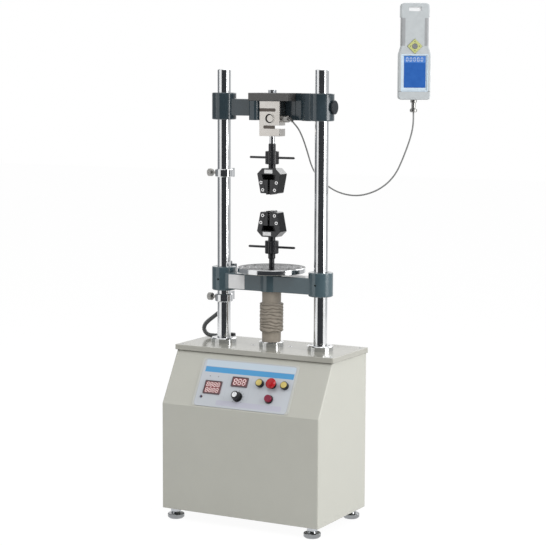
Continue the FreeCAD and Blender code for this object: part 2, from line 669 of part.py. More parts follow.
def make_panel():
    plate = rounded_plate(2 * panel_half, panel_height, panel_thickness, panel_corner, 0,
                          panel_low + panel_height / 2, 0)
    save("control_panel", moved(plate, on_slope).cut(panel_cutouts()))
    face = panel_thickness

    def display(spot, size):
        u, v = spot
        frame_block = rounded_plate(size[0], size[1], display_rise, 2.0, u, v, face)
        body = box(u - size[0] / 2 + 3.2, u + size[0] / 2 - 3.2, v - size[1] / 2 + 3.2, v + size[1] / 2 - 3.2,
                   -20.0, face)
        window = box(u - size[0] / 2 + 2.5, u + size[0] / 2 - 2.5, v - size[1] / 2 + 2.5,
                     v + size[1] / 2 - 2.5, face + display_rise - 0.8, face + display_rise + 1)
        return moved(frame_block.fuse(body).cut(window), on_slope)


    lamp = turned([(0, -8), (lamp_radius - 0.8, -8), (lamp_radius - 0.8, face), (lamp_radius, face),
                   (lamp_radius, face + 1.0), (lamp_radius - 1.0, face + 2.2), (0, face + 2.6)], *lamp_spot)
    save("panel_displays", display(timer_spot, timer_size), display(speed_spot, speed_size),
         moved(lamp, on_slope))

    # a ring round each button, with the switch bodies behind the sheet
    bezels, switches = [], []
    stem = button_radius - 2.6
    tall, power, low_ring = (button_radius, bezel_rise), (power_radius, low_ring_rise), (button_radius, low_ring_rise)
    rings = [(button_spots["down_button"], *tall), (button_spots["up_button"], *tall),
             (button_spots["power_button"], *power), (stop_spot, *low_ring)]
    for (u, v), cap_radius, rise in rings:
        bore = cap_radius + free_gap
        bezels.append(moved(turned([(bore, face), (bore + bezel_wall, face), (bore + bezel_wall, face + rise - 0.7),
                                    (bore + bezel_wall - 0.7, face + rise), (bore, face + rise)],
                                   u, v), on_slope))
        switch = box(u - 10, u + 10, v - 10, v + 10, -34, -sheet)
        neck = rod(button_radius - 2.0, Vector(u, v, -sheet), along_z, sheet + face)
        switch = switch.fuse(neck).cut(rod(stem + 0.15, Vector(u, v, -14), along_z, 20))
        switches.append(moved(switch, on_slope))
    u, v = knob_spot
    pot = rod(9.0, Vector(u, v, -14), along_z, 14 - sheet).cut(rod(3.0 + slide_fit, Vector(u, v, -11), along_z, 12))
    pot = moved(pot, on_slope)
    save("switch_housings", *[bezel.fuse(switch) for bezel, switch in zip(bezels, switches)], pot)

    skirt = face + button_travel + 0.4
    for name, (u, v) in button_spots.items():
        radius, rise = (power_radius, power_rise) if name == "power_button" else (button_radius, button_rise)
        cap = turned([(0, -9), (stem, -9), (stem, skirt), (radius, skirt), (radius, face + rise - 1.0),
                      (radius - 0.3, face + rise - 0.3), (radius - 1.0, face + rise), (0, face + rise)], u, v)
        save(name, moved(cap, on_slope))
    u, v = stop_spot
    head_low = face + low_ring_rise + 5.8
    mushroom = turned([(0, -9), (stem, -9), (stem, head_low), (stop_head_radius - 1.5, head_low),
                       (stop_head_radius, head_low + 1.5), (stop_head_radius, head_low + 3.0),
                       (stop_head_radius - 2.5, head_low + 6.0), (stop_head_radius - 7.0, head_low + 7.6),
                       (0, head_low + 8.0)], u, v)
    save("stop_button", moved(mushroom, on_slope))

    u, v = knob_spot
    low = face + 0.4
    skirt = knob_radius
    knob = turned([(0, low), (skirt, low), (skirt, low + 3.5), (skirt - 1.6, low + 4.2),
                   (skirt - 2.4, knob_height - 0.8), (skirt - 3.2, knob_height), (6.6, knob_height),
                   (6.0, knob_height - 0.6), (0, knob_height - 0.6)], u, v)
    flutes = [rod(1.3, Vector(s.x, s.y, low + 4.0), along_z, knob_height)
              for s in ring_of(12, skirt - 1.3, u, v)]
    shaft = rod(3.0, Vector(u, v, -10), along_z, 10 + low)
    knob = knob.cut(flutes).fuse(shaft)
    cap = rod(6.0, Vector(u, v, knob_height - 0.6), along_z, 1.0).cut(
        box(u - 0.5, u + 0.5, v + 1.5, v + 7, knob_height + 0.1, knob_height + 1))
    save("speed_knob", moved(knob.fuse(cap), on_slope))


def make_feet():
    nuts = []
    nut_low = underside - foot_nut_height
    for name, (x, y) in foot_spots().items():
        cone_top = nut_low - 0.5
        profile = [(0, 0), (foot_radius - 3.0, 0), (foot_radius, 3.0), (foot_radius, foot_thickness - 1.0),
                   (foot_radius - 1.0, foot_thickness), (foot_stud + 5.0, foot_thickness),
                   (foot_stud + 3.0, cone_top), (foot_stud, cone_top), (foot_stud, underside + 30),
                   (0, underside + 30)]
        save(name, turned(profile, x, y))
        nut = hexagon(22.0, x, y, nut_low, underside).cut(post(foot_stud + slide_fit, x, y, 0, 60))
        inner = underside + sheet
        weld_nut = hexagon(19.0, x, y, inner, inner + 10).cut(post(foot_stud + slide_fit, x, y, 0, 60))
        nuts += [nut, weld_nut]
    fasteners.extend(nuts)


def boss_with_rounds(x, low, height):
    boss = post(boss_radius, x, column_plane, low, low + height)
    return boss.makeFillet(2.5, level_edges(boss, low) + level_edges(boss, low + height))


def make_crosshead():
    y0, y1 = column_plane - beam_depth / 2, column_plane + beam_depth / 2
    beam_top = beam_low + beam_height
    beam = box(column_xs[0], column_xs[1], y0, y1, beam_low, beam_top)
    long_edges = [e for e in beam.Edges if abs(e.CenterOfMass.x) < 1e-6]
    beam = beam.makeFillet(2.0, long_edges)
    hub = post(boss_radius, 0, column_plane, beam_low, beam_top)
    bosses = [boss_with_rounds(x, crosshead_low, boss_height) for x in column_xs]
    casting = beam.fuse([hub] + bosses)
    # pockets cast into the underside leave a wall all round and a middle rib
    wall = 8.0
    pocket_x0, pocket_x1 = boss_radius + wall, column_spacing / 2 - boss_radius - wall / 2
    rib_x = (pocket_x0 + pocket_x1) / 2
    cuts = []
    for side in (-1, 1):
        for a, b in ((pocket_x0, rib_x - 3), (rib_x + 3, pocket_x1)):
            cuts.append(box(min(side * a, side * b), max(side * a, side * b), y0 + wall, y1 - wall,
                            beam_low - 1, beam_top - wall))
    bush_outer = column_radius + bush_wall
    for x in column_xs:
        cuts.append(post(bush_outer, x, column_plane, crosshead_low - 1, crosshead_low + boss_height + 1))
        cuts.append(rod(2.25, Vector(x, column_plane - boss_radius - 1, beam_low + 21), along_y,
                        boss_radius - bush_outer + 2))
    cuts.append(post(lead_screw_radius - 2, 0, column_plane, beam_low - 1, beam_top + 1))
    casting = casting.cut(cuts).removeSplitter()
    save("lower_crosshead", casting)

    bushes = [pipe(bush_outer, column_radius + slide_fit, x, column_plane, crosshead_low + 0.5,
                   crosshead_low + boss_height - 0.5) for x in column_xs]
    save("crosshead_bushes", *bushes)

    seat = beam_low
    profile = [(0, lead_screw_foot), (lead_screw_radius - 1.5, lead_screw_foot),
               (lead_screw_radius, lead_screw_foot + 1.5), (lead_screw_radius, seat),
               (lead_screw_radius - 2, seat), (lead_screw_radius - 2, beam_top), (0, beam_top)]
    save("lead_screw", turned(profile, 0, column_plane))

    # test table, turned in one with its spigot, grooved and drilled for fixtures
    low = beam_top
    rim_low = low + table_spigot
    profile = [(stud_radius, low), (table_spigot_radius, low), (table_spigot_radius, rim_low),
               (table_radius - 0.8, rim_low), (table_radius, rim_low + 0.8), (table_radius, table_top - 1.0),
               (table_radius - 1.0, table_top)]
    for groove in (66.0, 50.0, 36.0, 22.0):
        profile += [(groove, table_top), (groove, table_top - 1.2), (groove - 2.0, table_top - 1.2),
                    (groove - 2.0, table_top)]
    profile += [(stud_radius, table_top)]
    holes = [post(3.0, s.x, s.y, rim_low - 1, table_top + 1) for s in ring_of(8, 58.0, 0, column_plane, 0, 22.5)]
    holes += [post(3.0, s.x, s.y, rim_low - 1, table_top + 1) for s in ring_of(4, 43.0, 0, column_plane, 0, 0)]
    save("test_table", turned(profile, 0, column_plane).cut(holes))
    return casting


def make_limit_switch(crosshead):
    gx, gy, gland_low = conduit_points[0]
    x0, x1 = gx - 8.0, striker_spot + 12.5
    y0 = column_plane + boss_radius + 0.2
    low, high = crosshead_low + 8, crosshead_low + boss_height + 2.5
    case = rounded_plate(x1 - x0, 17.0, high - low, 5.0, (x0 + x1) / 2, y0 + 8.5, low)
    case = case.makeFillet(1.5, level_edges(case, high))
    ear = box(-116.0, -100.0, column_plane + beam_depth / 2 - 4, y0 + 4, beam_low + 6, beam_low + 30)
    boss = post(boss_radius + 0.2, column_xs[0], column_plane, low - 5, high + 5)
    plunger_x, plunger_y = striker_spot, y0 + 8.5
    case = case.fuse(ear.cut(boss)).cut([boss, post(3.0 + slide_fit, plunger_x, plunger_y, low - 5, high + 5)])
    rod_low, rod_high = low - plunger_reach, high + plunger_reach
    plunger = turned([(0, rod_low), (1.8, rod_low), (3.0, rod_low + 1.2), (3.0, rod_high - 1.2),
                      (1.8, rod_high), (0, rod_high)], plunger_x, plunger_y)
    save("limit_plunger", plunger)
    gland = turned([(0, gland_low), (conduit_radius + 1.2, gland_low), (6.8, low - 5), (6.8, low), (0, low)],
                   gx, gy)
    save("limit_switch", case.fuse(gland).cut(crosshead))
    ex, ey, ez = conduit_points[-1]
    dx, dy = deck_gland_spot()
    elbow = rounded_plate(2 * (dx - ex), gland_width, gland_height, 4.0, dx, dy, deck_top)
    elbow = elbow.makeFillet(2.5, level_edges(elbow, deck_top + gland_height))
    save("deck_gland", elbow.fuse(post(4.0, dx, dy, deck_top - deck_thickness, deck_top)))
    save("limit_conduit", cord_tube("limit conduit", conduit_points, conduit_radius))


def make_upper_crosshead():
    half = plate_width / 2
    left, right = column_xs
    web_y0 = column_plane + cell_depth / 2 + 2.0
    web_y1 = web_y0 + web_thickness
    bosses = [boss_with_rounds(x, upper_low, upper_height) for x in column_xs]
    # narrow neck on the left, full-height tapered web on the right
    neck = box(left, -half + 4, column_plane - 11, column_plane + 19, neck_low, neck_low + neck_height)
    neck = neck.makeFillet(2.5, [e for e in neck.Edges if e.Length > 40])
    neck = neck.cut(box(-half, half, 0, 100, plate_low, upper_top + 1))
    cheek = box(-half, -half + cheek_width, plate_front, web_y1, upper_low, plate_low)
    cheek = cheek.makeFillet(7.0, [e for e in upright_edges(cheek) if e.CenterOfMass.y < plate_front + 0.01])
    web = box(-half, half, web_y0, web_y1, upper_low, plate_low)
    reach = math.radians(40.0)
    # the wing's front sweeps in a hollow curve from the web to the boss
    start = Vector(half + 13, web_y0 + 1, upper_low)
    end = Vector(right - boss_radius * math.sin(reach), column_plane - boss_radius * math.cos(reach), upper_low)
    chord = end - start
    hollow = (start + end) / 2 + Vector(-chord.y, chord.x, 0).normalize() * wing_hollow * -1
    sweep = Part.Arc(start, hollow, end).toShape()
    rest = [end, Vector(right, column_plane, upper_low), Vector(right, column_plane + boss_radius - 1, upper_low),
            Vector(half - 6, web_y1 + 4, upper_low), Vector(half - 6, web_y0 + 1, upper_low), start]
    wing = Part.Face(Part.Wire([sweep, Part.makePolygon(rest)])).extrude(Vector(0, 0, upper_height))
    wing = wing.cut(box(-half, half + 0.01, 0, 100, plate_low, upper_top + 1))
    casting = bosses[0].fuse([bosses[1], neck, cheek, web, wing])
    cuts = [post(column_radius + slide_fit, x, column_plane, upper_low - 1, upper_top + 1) for x in column_xs]
    # clamp slit at the back of each boss and the clamp screw's bore on the right
    for x in column_xs:
        cuts.append(box(x - 1.5, x + 1.5, column_plane + column_radius - 2, column_plane + boss_radius + 5,
                        upper_low - 1, upper_top + 1))
    clamp_z = upper_low + upper_height / 2
    cuts.append(rod(stud_radius + slide_fit, Vector(right + column_radius - 3, column_plane, clamp_z), along_x, 40))
    casting = casting.cut(cuts)
    save("upper_crosshead", casting)

    plate = box(-half, half, plate_front, plate_front + plate_depth, plate_low, upper_top)
    plate = plate.makeFillet(1.5, [e for e in plate.Edges if e.CenterOfMass.y < plate_front + 0.01])
    screws = [cap_screw(5.0, 5.4, 3.0, plate_thickness - 6), cap_screw(9.0, 6.5, stud_radius, plate_thickness + 12)]
    spots = [(x, plate_front + plate_depth - 8) for x in (-half + 11, half - 11)] + [(-half + 11, plate_front + 16)]
    holes = [post(5.2, x, y, upper_top - 6, upper_top + 1) for x, y in spots]
    holes += [post(3.0, x, y, plate_low - 1, upper_top) for x, y in spots]
    holes += [post(stud_radius, 0, column_plane, plate_low - 1, upper_top + 1)]
    plate_screws = [moved(screws[0], Placement(Vector(x, y, upper_top - 6), Rotation())) for x, y in spots]
    plate_screws.append(moved(screws[1], Placement(Vector(0, column_plane, upper_top), Rotation())))
    save("sensor_plate", plate.cut(holes).fuse(plate_screws))

    # clamp bolts across the slits and the knob that locks the crosshead's height
    bolts = []
    for x in column_xs:
        for z in (upper_low + 14, upper_top - 14):
            y = column_plane + boss_radius - 4.5
            for side in (-1, 1):
                start = x + side * 1.5
                bolts.append(rod(3.0, Vector(start, y, z), Vector(side, 0, 0), 8.5))
    under_head = boss_radius - column_radius + 0.9
    knob = turned([(0, 0), (stud_radius, 0), (stud_radius, under_head), (knob_head - 1.6, under_head),
                   (knob_head, under_head + 1.4), (knob_head, under_head + 3.6), (knob_head - 1.4, under_head + 4.6),
                   (0, under_head + 4.6)])
    notches = [rod(2.0, s, along_z, 30) for s in ring_of(8, knob_head + 0.9, 0, 0, 0)]
    knob = aimed(knob.cut(notches), Vector(right + column_radius + 0.1, column_plane, clamp_z), along_x)
    save("clamp_knob", knob)


def make_load_cell():
    half_w, half_d = cell_width / 2, cell_depth / 2
    y0, y1 = column_plane - half_d, column_plane + half_d
    middle = (cell_low + cell_top) / 2
    block = box(-half_w, half_w, y0, y1, cell_low, cell_top)
    rims = [e for e in block.Edges if e.Length > cell_depth + 1]
    block = block.makeChamfer(0.8, rims)
    slot_offset = 15.0
    cuts = [rod(cell_hole, Vector(0, y0 - 1, middle), along_y, cell_depth + 2)]
    for side, z in ((-1, middle + slot_offset), (1, middle - slot_offset)):
        inner = -side * cell_web * 0.9
        outer = side * (half_w + 1)
        cuts.append(box(min(inner, outer), max(inner, outer), y0 - 1, y1 + 1, z, z + cell_slot)
                    if side < 0 else
                    box(min(inner, outer), max(inner, outer), y0 - 1, y1 + 1, z - cell_slot, z))
        rounded_z = z + cell_slot / 2 if side < 0 else z - cell_slot / 2
        cuts.append(rod(cell_slot / 2, Vector(inner, y0 - 1, rounded_z), along_y, cell_depth + 2))
    cuts += [post(stud_radius, 0, column_plane, cell_low - 1, cell_low + 13),
             post(stud_radius, 0, column_plane, cell_top - 12, cell_top + 1)]
    cell = block.cut(cuts)
    lips = [rod(cell_hole + 1.8, Vector(0, y, middle), along_y, 0.6).cut(
        rod(cell_hole, Vector(0, y - 1, middle), along_y, 3)) for y in (y0 - 0.6, y1)]
    save("load_cell", cell.fuse(lips))

    z = middle - 0.5
    plug = turned([(0, 0), (8.0, 0), (8.0, 3.0), (6.6, 3.6), (6.6, 6.0), (7.8, 6.8), (7.8, 15.0), (6.4, 17.0),
                   (0, 17.0)])
    plug = aimed(plug, Vector(half_w, column_plane, z), along_x)
    first, second = Vector(*cord_points[0]), Vector(*cord_points[1])
    heading = (second - first).normalize()
    boot_start = first - heading * 12.0
    boot = Part.makeCone(4.6, 2.6, 12.0, boot_start, heading)
    save("cell_connector", plug.fuse(boot))


def jaw_slope():
    return math.tan(math.radians(wedge_angle))


def make_grip(prefix, to_world, spindle, rear):
    # modelled mouth down with the mouth at z = 0, then placed; rear is +1 or -1, the closed side's y
    half_depth = grip_depth / 2
    slope = jaw_slope()
    wall_half = jaw_gap / 2 + jaw_mouth_thickness

    def mirrored(points):
        return [(-x, z) for x, z in reversed(points)]

    def slab(outline, y0, y1):
        return prism([Vector(x, min(y0, y1), z) for x, z in outline], Vector(0, abs(y1 - y0), 0))

    side = [(grip_mouth_half, 2.0), (grip_shoulder_half, grip_shoulder), (grip_top_half, grip_height)]
    outline = [(grip_mouth_half - 1.5, 0.5)] + side
    body = slab(outline + mirrored(outline), -half_depth, half_depth)
    faces = [e for e in body.Edges if abs(abs(e.CenterOfMass.y) - half_depth) < 1e-6]
    body = body.makeChamfer(0.6, faces)
    room = [(wall_half - slope, -1.0), (wall_half + slope * cavity_height, cavity_height)]
    inside = rear * (half_depth - rear_wall)
    cavity = slab(room + mirrored(room), -rear * (half_depth + 1), inside)
    # groove for each jaw's tongue, along the slanted wall
    groove = [(wall_half - slope * 2 - 1, -2.0), (wall_half - slope * 2 + tongue_depth, -2.0),
              (wall_half + slope * cavity_height + tongue_depth, cavity_height),
              (wall_half + slope * cavity_height - 1, cavity_height)]
    half_tongue = tongue_width / 2 + free_gap
    grooves = [slab(groove, -half_tongue, half_tongue), slab(mirrored(groove), -half_tongue, half_tongue)]
    screw_spots = [(s * x, z) for s in (-1, 1) for x, z in ((19.0, 24.0), (14.6, 8.0))]
    screw_seats = []
    for x, z in screw_spots:
        for face in (-1, 1):
            y = face * (half_depth - 2.4)
            screw_seats.append(rod(3.6, Vector(x, y, z), Vector(0, face, 0), 4))
            screw_seats.append(rod(1.6, Vector(x, y, z), Vector(0, -face, 0), 6))
    spindle_bore = post(spindle_radius, 0, 0, cavity_height - 1, grip_height + 1)
    body = body.cut([cavity, spindle_bore] + grooves + screw_seats)
    screws = []
    for x, z in screw_spots:
        for face in (-1, 1):
            screw = cap_screw(3.5, 2.6, 1.6, 6.0)
            screws.append(aimed(screw, Vector(x, face * (half_depth - 2.4), z), Vector(0, face, 0)))
    save(prefix + "_grip_body", to_world(body.fuse(screws + [spindle])))

    run = free_gap / math.cos(math.radians(wedge_angle))
    for name, flip in (("left", True), ("right", False)):
        back = wall_half - run
        jaw = [(jaw_gap / 2, -2.0), (back - slope * 2, -2.0), (back + slope * jaw_length, jaw_length),
               (jaw_gap / 2, jaw_length)]
        tongue = [(back - 0.5, 0.0), (back + tongue_depth - free_gap, 0.0),
                  (back + slope * jaw_length + tongue_depth - free_gap, jaw_length),
                  (back + slope * jaw_length - 0.5, jaw_length)]
        if flip:
            jaw, tongue = mirrored(jaw), mirrored(tongue)
        solid = slab(jaw, -rear * (half_depth - 0.4), inside - rear * free_gap)
        solid = solid.fuse(slab(tongue, -tongue_width / 2, tongue_width / 2))
        sign = -1 if flip else 1
        teeth = [box(min(sign * (jaw_gap / 2 - 1), sign * (jaw_gap / 2 + 0.5)),
                     max(sign * (jaw_gap / 2 - 1), sign * (jaw_gap / 2 + 0.5)), -half_depth, half_depth,
                     z, z + 0.8) for z in [1.5 + 2.6 * k for k in range(10)]]
        save(prefix + "_jaw_" + name, to_world(solid.cut(teeth).removeSplitter()))


def make_spindle(length, stud_length):
    # from the housing's bridge through the collar to the stud
    low = cavity_height
    return turned([(0, low), (spindle_radius, low), (spindle_radius, length - 1.5), (spindle_radius - 1.5, length),
                   (stud_radius, length), (stud_radius, length + stud_length), (0, length + stud_length)])


def make_collar():
    collar_low = grip_height + collar_rise
    collar_high = collar_low + collar_height
    collar = turned([(spindle_radius + slide_fit, collar_low), (collar_radius - 1.2, collar_low),
                     (collar_radius, collar_low + 1.2), (collar_radius, collar_high - 1.2),
                     (collar_radius - 1.2, collar_high), (spindle_radius + slide_fit, collar_high)])
    flutes = [post(1.6, s.x, s.y, collar_low - 1, collar_high + 1) for s in ring_of(12, collar_radius + 0.7, 0, 0, 0, 15)]
    middle = (collar_low + collar_high) / 2
    seats = [rod(bar_radius, Vector(side * (spindle_radius + 2.5), 0, middle), Vector(side, 0, 0), 20)
             for side in (-1, 1)]
    return collar.cut(flutes + seats), middle


def tommy_bars(middle):
    bars = []
    start = spindle_radius + 2.5
    for side in (-1, 1):
        bar = turned([(0, 0), (bar_radius, 0), (bar_radius, bar_reach - start - 2.0),
                      (bar_radius - 1.4, bar_reach - start), (0, bar_reach - start)])
        bars.append(aimed(bar, Vector(side * start, 0, middle), Vector(side, 0, 0)))
    return bars


def make_grips():
    def up(shape):
        return moved(shape, Placement(Vector(0, column_plane, upper_grip_mouth), Rotation()))

    def down(shape):
        return moved(shape, Placement(Vector(0, column_plane, lower_grip_mouth), Rotation(along_x, 180)))

    upper_spindle = cell_low - upper_grip_mouth - 16.0
    lower_spindle = lower_grip_mouth - table_top - 18.0
    for prefix, place, length, stud, turn, rear in (("upper", up, upper_spindle, 16.0 + 12.0, 0.0, 1),
                                                    ("lower", down, lower_spindle, 18.0 + 12.0, lower_bar_turn, -1)):
        make_grip(prefix, place, make_spindle(length, stud), rear)
        collar, middle = make_collar()
        spin = Placement(Vector(0, 0, 0), Rotation(along_z, turn))
        save(prefix + "_grip_collar", place(moved(collar.fuse(tommy_bars(middle)), spin)))


def make_stops():
    x, y = column_xs[0], column_plane
    for name, low, striker_up in (("upper_stop", upper_stop_low, False), ("lower_stop", lower_stop_low, True)):
        high = low + stop_height
        ring = turned([(column_radius + slide_fit, low), (stop_radius - 1.5, low), (stop_radius, low + 1.5),
                       (stop_radius, high - 1.5), (stop_radius - 1.5, high), (column_radius + slide_fit, high)], x, y)
        lift = lower_striker_lift if striker_up else 0.0
        drop = 0.0 if striker_up else upper_striker_drop
        striker = box(striker_spot - striker_width / 2, striker_spot + striker_width / 2, y + 12, y + 46,
                      low - drop, high + lift)
        striker = striker.makeFillet(2.0, [e for e in upright_edges(striker) if e.CenterOfMass.y > y + 20])
        middle = (low + high) / 2
        bore = rod(thumb_shank + slide_fit, Vector(x - stop_radius - 5, y, middle), along_x, 12)
        body = ring.fuse(striker.cut(post(column_radius + 2, x, y, low - 5, high + 5))).cut(bore)
        save(name + "_collar", body)
        shank_length = stop_radius - column_radius + 9.0
        screw = turned([(0, 0), (thumb_shank, 0), (thumb_shank, shank_length), (thumb_radius - 1.5, shank_length),
                        (thumb_radius, shank_length + 1.5), (thumb_radius, shank_length + thumb_length - 1.5),
                        (thumb_radius - 1.5, shank_length + thumb_length), (0, shank_length + thumb_length)])
        flutes = [rod(1.1, s, along_z, 40) for s in ring_of(12, thumb_radius + 0.3, 0, 0, shank_length - 1)]
        save(name + "_screw", aimed(screw.cut(flutes), Vector(x - column_radius - 0.1, y, middle), Vector(-1, 0, 0)))


def make_gauge():
    half_depth = gauge_depth / 2
    parting = -2.0

    def half_outline(shrink=0.0):
        w, n, c = gauge_half - shrink, gauge_waist_half - shrink, gauge_cap_half - shrink
        return [(w - 6, shrink), (w - 1.8, shrink + 1.8), (w, shrink + 6), (w, gauge_wide_height),
                (n, gauge_wide_height + gauge_shoulder), (n, gauge_cap_low - 1), (c, gauge_cap_low + 1.5),
                (c, gauge_height - 6.5 - shrink), (c - 1.9, gauge_height - 1.9 - shrink),
                (c - 6.5, gauge_height - shrink)]

    def shell(y0, y1, shrink=0.0):
        side = half_outline(shrink)
        outline = side + [(-x, z) for x, z in reversed(side)]
        return prism([Vector(x, y0, z) for x, z in outline], Vector(0, y1 - y0, 0))

    front = shell(-half_depth, parting)
    rims = [e for e in front.Edges if e.CenterOfMass.y < -half_depth + 0.01]
    front = front.makeFillet(2.5, rims)
    screen_low, screen_high, screen_half = 20.0, 92.0, 26.0
    recess = box(-screen_half, screen_half, -half_depth - 1, -half_depth + 1.6, screen_low, screen_high)
    seam = box(-50, 50, -50, 50, gauge_seam, gauge_seam + 0.8).cut(
        box(0.8 - gauge_half, gauge_half - 0.8, 0.8 - half_depth, half_depth - 0.8, 0, 30))
    slot = box(-13.0, 13.0, -half_depth - 1, -half_depth + 2.0, 182.0, 190.5)
    pad_hole = key_diamond(key_reach + 0.3, -half_depth - 1, parting + 1)
    front = front.cut([recess, slot, pad_hole, seam])
    front = front.cut(box(-20, 20, parting - 6, parting + 1, 90, 130))
    save("gauge_front_shell", moved(front, on_gauge))
    back = shell(parting, half_depth)
    rims = [e for e in back.Edges if e.CenterOfMass.y > half_depth - 0.01]
    back = back.makeFillet(4.0, rims).cut(seam)
    save("gauge_back_shell", moved(back, on_gauge))
    # one diamond pad carries the four arrows round the middle key
    face = -half_depth - 1.2
    pad = key_diamond(key_reach, face, parting - 2.0)
    corners = [e for e in pad.Edges if e.Length > half_depth - 4 and abs(e.tangentAt(0).y) > 0.9]
    pad = pad.makeFillet(2.0, corners)
    pad = pad.cut(rod(key_radius + free_gap, Vector(0, face - 1, key_spot), along_y, 40))
    save("gauge_arrow_pad", moved(pad, on_gauge))
    key = rod(key_radius, Vector(0, face - 0.6, key_spot), along_y, parting - 2.0 - face + 0.6)
    save("gauge_middle_key", moved(key, on_gauge))
    plug_low = cord_points[-1][2]
    drop = gauge_spot[2] - plug_low
    plug = turned([(0, -drop), (5.6, -drop), (7.5, -drop + 1.6), (7.5, -drop + 6.0), (6.6, -drop + 7.2),
                   (4.3, -drop + 8.4), (4.3, -6.6), (6.6, -5.4), (6.6, 0), (0, 0)])
    save("gauge_connector", moved(plug, on_gauge))


def key_diamond(reach, y0, y1):
    tips = [(reach, 0), (0, reach), (-reach, 0), (0, -reach)]
    return prism([Vector(x, y0, key_spot + z) for x, z in tips], Vector(0, y1 - y0, 0))


# Cord routes, chosen by hand
conduit_points = [(-137.0, 69.0, 474.0), (-137.0, 69.0, 464.0), (-140.5, 68.6, 454.0), (-147.5, 67.2, 444.4),
                  (-158.5, 64.8, 434.4), (-172.0, 62.4, 424.0), (-184.0, 61.0, 414.0), (-189.2, 60.6, 404.8),
                  (-188.9, 61.2, 396.4), (-184.0, 62.6, 389.3), (-177.2, 64.6, 385.9), (-167.0, 67.4, 385.2),
                  (-152.0, 69.5, 385.5), (-138.0, 69.5, 385.5)]
cord_points = [(50.0, 33.5, 872.0), (55.5, 35.0, 865.5), (62.5, 38.0, 856.0), (69.0, 43.0, 839.0),
               (74.0, 49.5, 818.0), (78.0, 55.5, 797.0), (82.5, 60.0, 777.0), (91.0, 62.5, 760.0),
               (104.0, 63.5, 746.5), (121.0, 63.0, 733.5), (143.0, 61.0, 723.0), (171.0, 59.0, 716.5),
               (199.0, 57.0, 716.2), (226.0, 55.0, 722.5), (251.5, 53.0, 733.8), (274.0, 51.0, 750.5),
               (290.0, 49.5, 770.0), (301.0, 48.5, 791.5), (310.0, 47.5, 812.0), (318.0, 46.5, 831.5),
               (324.5, 45.7, 851.0), (328.0, 45.2, 868.0), (328.9, 45.0, 882.0), (328.5, 45.0, 896.0)]

fasteners = []
make_cabinet()
make_columns()
make_bellows()
make_drive()
make_electronics()
make_panel()
make_feet()
make_limit_switch(make_crosshead())
make_upper_crosshead()
make_load_cell()
make_grips()
make_stops()
make_gauge()
save("sensor_cord", cord_tube("sensor cord", cord_points, cord_radius))
save("fasteners", *fasteners)
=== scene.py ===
import bmesh
import bpy
import json
import math
from mathutils import Matrix, Vector

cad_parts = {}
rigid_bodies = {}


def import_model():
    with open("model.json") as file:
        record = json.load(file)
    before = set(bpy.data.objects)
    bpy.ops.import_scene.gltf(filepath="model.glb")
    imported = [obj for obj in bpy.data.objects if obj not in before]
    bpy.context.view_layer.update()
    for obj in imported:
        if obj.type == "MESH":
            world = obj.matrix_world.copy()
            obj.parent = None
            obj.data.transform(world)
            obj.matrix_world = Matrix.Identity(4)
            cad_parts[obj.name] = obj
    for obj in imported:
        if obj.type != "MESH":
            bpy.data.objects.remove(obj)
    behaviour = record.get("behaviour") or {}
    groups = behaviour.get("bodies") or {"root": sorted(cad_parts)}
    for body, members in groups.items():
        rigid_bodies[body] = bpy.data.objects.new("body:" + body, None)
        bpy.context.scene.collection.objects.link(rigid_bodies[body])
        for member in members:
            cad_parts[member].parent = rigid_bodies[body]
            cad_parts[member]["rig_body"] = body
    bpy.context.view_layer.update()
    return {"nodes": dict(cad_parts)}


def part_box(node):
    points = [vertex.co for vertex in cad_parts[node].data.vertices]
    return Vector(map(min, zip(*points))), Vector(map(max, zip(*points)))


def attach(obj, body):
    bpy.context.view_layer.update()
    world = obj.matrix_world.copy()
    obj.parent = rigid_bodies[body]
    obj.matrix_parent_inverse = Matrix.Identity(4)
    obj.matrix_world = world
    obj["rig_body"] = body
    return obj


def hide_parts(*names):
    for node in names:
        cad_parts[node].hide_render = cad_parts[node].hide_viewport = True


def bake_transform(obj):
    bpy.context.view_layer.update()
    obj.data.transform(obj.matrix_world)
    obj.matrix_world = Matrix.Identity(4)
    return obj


# Motorised force test stand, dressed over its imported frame. Metres, +Z up.
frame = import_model()
nodes = frame["nodes"]
print("frame loaded:", len(nodes), "nodes")


def mm(*values):
    return Vector([v / 1000 for v in values])


def hexColour(code):
    # sRGB hex to a linear RGBA tuple
    channels = [int(code[i:i + 2], 16) / 255 for i in (1, 3, 5)]
    linear = [c / 12.92 if c <= 0.04045 else ((c + 0.055) / 1.055) ** 2.4 for c in channels]
    return (*linear, 1.0)


def addNode(tree, kind, settings=None, inputs=None):
    node = tree.nodes.new(kind)
    for key, value in (settings or {}).items():
        setattr(node, key, value)
    for key, value in (inputs or {}).items():
        socket = node.inputs[key]
        if isinstance(value, bpy.types.NodeSocket):
            tree.links.new(value, socket)
        else:
            socket.default_value = value
    return node


def emptyTree(owner):
    owner.use_nodes = True
    owner.node_tree.nodes.clear()
    return owner.node_tree


def startFinish(name, shader):
    material = bpy.data.materials.new(name)
    tree = emptyTree(material)
    bsdf = addNode(tree, "ShaderNodeBsdfPrincipled", None, shader)
    addNode(tree, "ShaderNodeOutputMaterial", None, {"Surface": bsdf.outputs["BSDF"]})
    place = addNode(tree, "ShaderNodeTexCoord").outputs["Object"]
    return material, tree, bsdf, place


